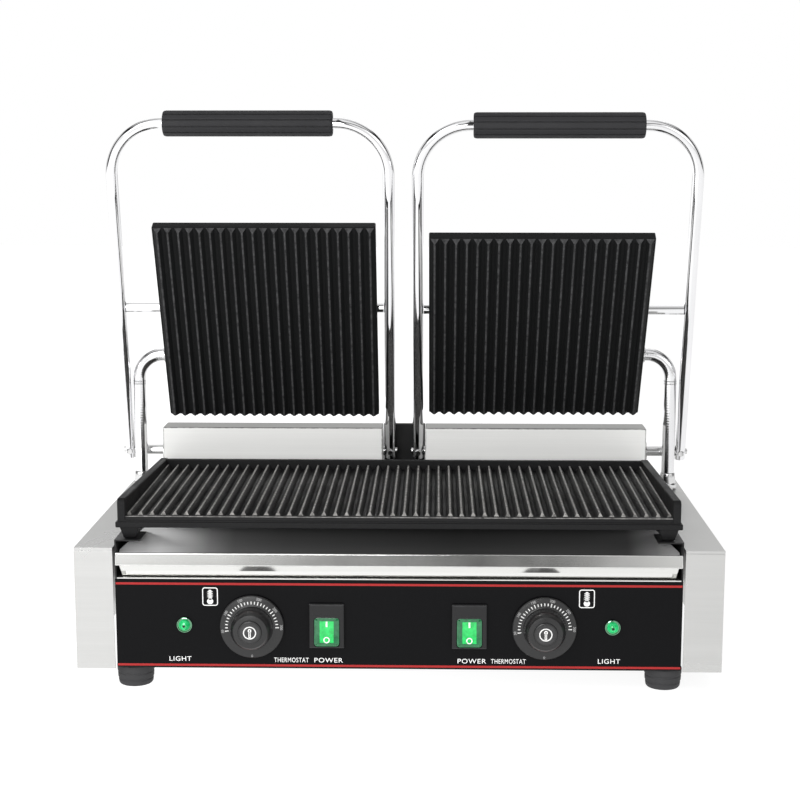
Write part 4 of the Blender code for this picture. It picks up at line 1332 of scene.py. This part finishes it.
def make_rocker(side, sign):
    """A rocker with a dark shell round a lit centre, in a frame at its pivot."""
    rocker = block("green_rocker_" + side, (-0.0108, -0.0050, -0.0126), (0.0108, 0.0045, 0.0126))
    pick_edges(rocker, lambda a, b: abs(a.y - b.y) > 0.001)
    bevel_picked(0.0028, 5)
    score(rocker, (0, 0, 0.0), (0, 0, 1))
    pick_points(rocker, lambda point: point.y < -0.004 and abs(point.z) > 0.001)
    slide((0, -0.0008, 0))
    leave_edit()
    pick_faces(rocker, lambda centre, normal: normal.y < -0.8)
    bpy.ops.mesh.inset(thickness=0.0007, depth=0.0003)
    bpy.ops.mesh.inset(thickness=0.0040)
    leave_edit()
    rocker.data.materials.append(LOOKS["green_shell"])
    rocker.data.materials.append(LOOKS["green_glow"])
    for face in rocker.data.polygons:
        lit = face.normal.y < -0.8 and abs(face.center.x) < 0.004 and abs(face.center.z) < 0.008
        face.material_index = 1 if lit else 0
    set_rocker(rocker, sign)
    dress(rocker, None, "rocker_" + side, "green_plastic", "rocker_" + side)
    bar = block("on_mark_" + side, (-0.0008, -0.00625, 0.0044), (0.0008, -0.0055, 0.0092), 0.0001)
    deselect()
    bpy.ops.mesh.primitive_torus_add(major_radius=0.0023, minor_radius=0.00055, major_segments=32,
                                     minor_segments=8, location=(0, -0.0059, -0.0070),
                                     rotation=(math.pi / 2, 0, 0))
    ring = name_new("off_ring")
    join(bar, ring)
    set_rocker(bar, sign)
    dress(bar, LOOKS["white_print"], "rocker_" + side, "green_plastic")


def set_rocker(piece, sign):
    return stand(piece, (sign * SWITCH_X, 0.003 + FRONT, ROCKER_Z), (-ROCKER_TILT, 0.0, 0.0))


def make_lamp(side, sign):
    """A pilot lamp: rim, domed lens with an inner step, and its stem."""
    ring_profile = [(0.0052, -0.0180), (0.0052, 0.0), (0.0066, 0.0003), (0.0068, 0.0008),
                    (0.0066, 0.0022), (0.0060, 0.0024), (0.0056, 0.0014), (0.0010, 0.0014)]
    lens_profile = [(0.0050, 0.0012), (0.0050, 0.0024), (0.0045, 0.0038), (0.0036, 0.0048),
                    (0.0033, 0.0046), (0.0026, 0.0056), (0.0012, 0.0061), (0.0003, 0.0062)]
    rim = turned("lamp_ring_" + side, ring_profile, 40)
    lens = turned("lamp_lens_" + side, lens_profile, 40)
    for piece, look in ((rim, "lamp_rim"), (lens, "lamp_green")):
        stand(piece, (sign * LAMP_X, 0.0007 + FRONT, LAMP_Z), (math.pi / 2, 0.0, 0.0))
        piece.data.materials.append(LOOKS[look])
        dress(piece, None, "base", "green_lens")
    lens.data.materials.append(LOOKS["frame_black"])
    for face in lens.data.polygons:
        reach = math.hypot(face.center.x - sign * LAMP_X, face.center.z - LAMP_Z)
        face.material_index = 1 if reach < 0.0017 else 0
    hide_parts("lamp_" + side)


def dress_kept_nodes():
    """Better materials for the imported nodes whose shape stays."""
    looks = {"chassis": "black_paint", "control_panel": "panel_black", "tray_shelf": "tray_steel",
             "heat_reflector": "rear_steel", "centre_bracket": "black_paint", "terminal_block": "ceramic"}
    sided = {"lower_heater": "dull_steel", "upper_heater": "dull_steel", "spring": "dull_steel",
             "axle": "bright_steel", "axle_bush": "bright_steel", "head_rod": "chrome",
             "thermostat": "ceramic"}
    for name, look in sided.items():
        for side in SIDES:
            looks[name + "_" + side] = look
    for node, look in looks.items():
        for holder in frame["nodes"][node].material_slots:
            holder.material = LOOKS[look]


# Floor, light and camera

def make_floor():
    """A plain pale floor that glows a little, more on the left."""
    deselect()
    bpy.ops.mesh.primitive_plane_add(size=12.0, location=(0.0, 0.0, 0.0))
    floor = name_new("floor")
    look, tree, shader, place = new_look("pale_floor", specular=0.2)
    patches = use(tree, SMUDGES, place, scale=2.0, low=0.0, high=1.0)
    tree.links.new(tint(tree, patches.outputs["Value"], (0.20, 0.20, 0.20), (0.22, 0.22, 0.22)),
                   shader.inputs["Base Color"])
    split = tree.nodes.new("ShaderNodeSeparateXYZ")
    tree.links.new(place, split.inputs["Vector"])
    glow = ranged(tree, split.outputs["X"], -0.45, 0.45, 1.08, 0.86)
    tree.links.new(glow, shader.inputs["Emission Strength"])
    shader.inputs["Roughness"].default_value = 0.7
    shader.inputs["Emission Color"].default_value = (1.0, 1.0, 1.0, 1.0)
    floor.data.materials.append(look)


def make_softbox(name, place, aim, size, power, only=None):
    """A soft rectangular light; with only given it lights nothing but that piece."""
    light = bpy.data.lights.new(name, "AREA")
    light.shape = "RECTANGLE"
    light.size, light.size_y = size
    light.energy = power
    holder = bpy.data.objects.new(name, light)
    bpy.context.scene.collection.objects.link(holder)
    holder.location = place
    holder.rotation_euler = (Vector(aim) - Vector(place)).to_track_quat("-Z", "Y").to_euler()
    if only:
        lit = bpy.data.collections.new(name + "_lit")
        lit.objects.link(bpy.data.objects[only])
        holder.light_linking.receiver_collection = lit


ROOM_WALLS = ((0.0, 0.70), (0.19, 0.75), (0.215, 0.03), (0.275, 0.03), (0.30, 0.95), (0.466, 1.0),
              (0.4745, 0.95), (0.480, 0.70), (0.486, 0.36), (0.492, 0.24), (0.497, 0.10), (0.506, 0.05),
              (0.511, 0.12), (0.517, 0.40), (0.523, 0.85), (0.533, 0.95), (0.70, 0.80), (0.725, 0.03),
              (0.785, 0.03), (0.81, 0.75), (1.0, 0.70))
ROOM_LEVELS = ((0.0, 0.55), (0.48, 0.75), (0.56, 1.0), (0.74, 1.0), (0.77, 0.10), (0.83, 0.10),
               (0.86, 1.0), (1.0, 1.0))


def make_room():
    """A pale room with dark drapes, which the polished metal reflects; straight ahead it is white."""
    world = bpy.data.worlds.new("studio")
    bpy.context.scene.world = world
    world.use_nodes = True
    tree = world.node_tree
    tree.nodes.clear()
    output = tree.nodes.new("ShaderNodeOutputWorld")
    way = tree.nodes.new("ShaderNodeTexCoord")
    split = tree.nodes.new("ShaderNodeSeparateXYZ")
    tree.links.new(way.outputs["Generated"], split.inputs["Vector"])
    back = add(tree, "ShaderNodeMath", {1: -1.0}, operation="MULTIPLY")
    tree.links.new(split.outputs["Y"], back.inputs[0])
    round_about = add(tree, "ShaderNodeMath", operation="ARCTAN2")
    tree.links.new(split.outputs["X"], round_about.inputs[0])
    tree.links.new(back.outputs["Value"], round_about.inputs[1])
    turn = ranged(tree, round_about.outputs["Value"], -math.pi, math.pi, 0.0, 1.0)
    walls = grey_ramp(tree, turn, ROOM_WALLS)
    height = ranged(tree, split.outputs["Z"], -1.0, 1.0, 0.0, 1.0)
    levels = grey_ramp(tree, height, ROOM_LEVELS)
    room = add(tree, "ShaderNodeBackground", {"Strength": 1.0})
    tree.links.new(product(tree, walls, levels), room.inputs["Color"])
    plain = add(tree, "ShaderNodeBackground", {"Color": (1.0, 1.0, 1.0, 1.0), "Strength": 1.0})
    seen = tree.nodes.new("ShaderNodeLightPath")
    pick = tree.nodes.new("ShaderNodeMixShader")
    tree.links.new(seen.outputs["Is Camera Ray"], pick.inputs[0])
    tree.links.new(room.outputs["Background"], pick.inputs[1])
    tree.links.new(plain.outputs["Background"], pick.inputs[2])
    tree.links.new(pick.outputs["Shader"], output.inputs["Surface"])


def make_lights():
    """Soft boxes round the press, and two small ones that light only the ends of the drip tray."""
    press = (0.0, 0.0, 0.2)
    make_softbox("key_light", (-1.3, -1.6, 1.7), press, (1.4, 1.4), 14.0)
    make_softbox("fill_light", (1.5, -1.3, 1.2), press, (1.2, 1.2), 3.5)
    make_softbox("back_light", (0.0, 1.8, 1.6), press, (2.0, 1.0), 6.0)
    make_softbox("low_light", (-0.95, -0.75, 0.34), (-0.15, -0.1, 0.12), (0.5, 0.3), 0.8)
    make_softbox("front_light", (-0.5, -2.3, 0.8), press, (1.0, 0.5), 13.0)
    make_softbox("tray_light_left", (-0.40, -0.10, 0.16), (-0.22, -0.12, 0.11), (0.10, 0.04), 1.8, "tray")
    make_softbox("tray_light_right", (0.40, -0.10, 0.16), (0.22, -0.12, 0.11), (0.10, 0.04), 0.6, "tray")


def make_camera():
    lens = bpy.data.cameras.new("view")
    lens.sensor_width = 36.0
    lens.lens = 74.25
    lens.shift_y = 0.0255
    camera = bpy.data.objects.new("view", lens)
    bpy.context.scene.collection.objects.link(camera)
    camera.location = (0.033, -1.3834 + FRONT, 0.4733)
    camera.rotation_euler = (math.radians(80.4), 0.0, math.radians(1.295))
    bpy.context.scene.camera = camera
    bpy.context.scene.view_settings.view_transform = "Standard"
    bpy.context.scene.view_settings.look = "None"


# Assembly

def make_press():
    make_panel_trim()
    make_feet()
    make_rear()
    make_cooking_plate()
    make_tray()
    for side, sign in SIDES.items():
        make_side_shell(side, sign)
        make_hinge_case(side, sign)
        make_handle(side)
        make_grip(side)
        make_pivot_bolts(side, sign)
        make_pressing_plate(side)
        make_head_back(side, sign)
        make_head_gland(side, sign)
        make_conduit(side, sign)
        make_dial(side, sign)
        make_switch(side, sign)
        make_lamp(side, sign)
    dress_kept_nodes()


make_press()
make_floor()
make_room()
make_lights()
make_camera()
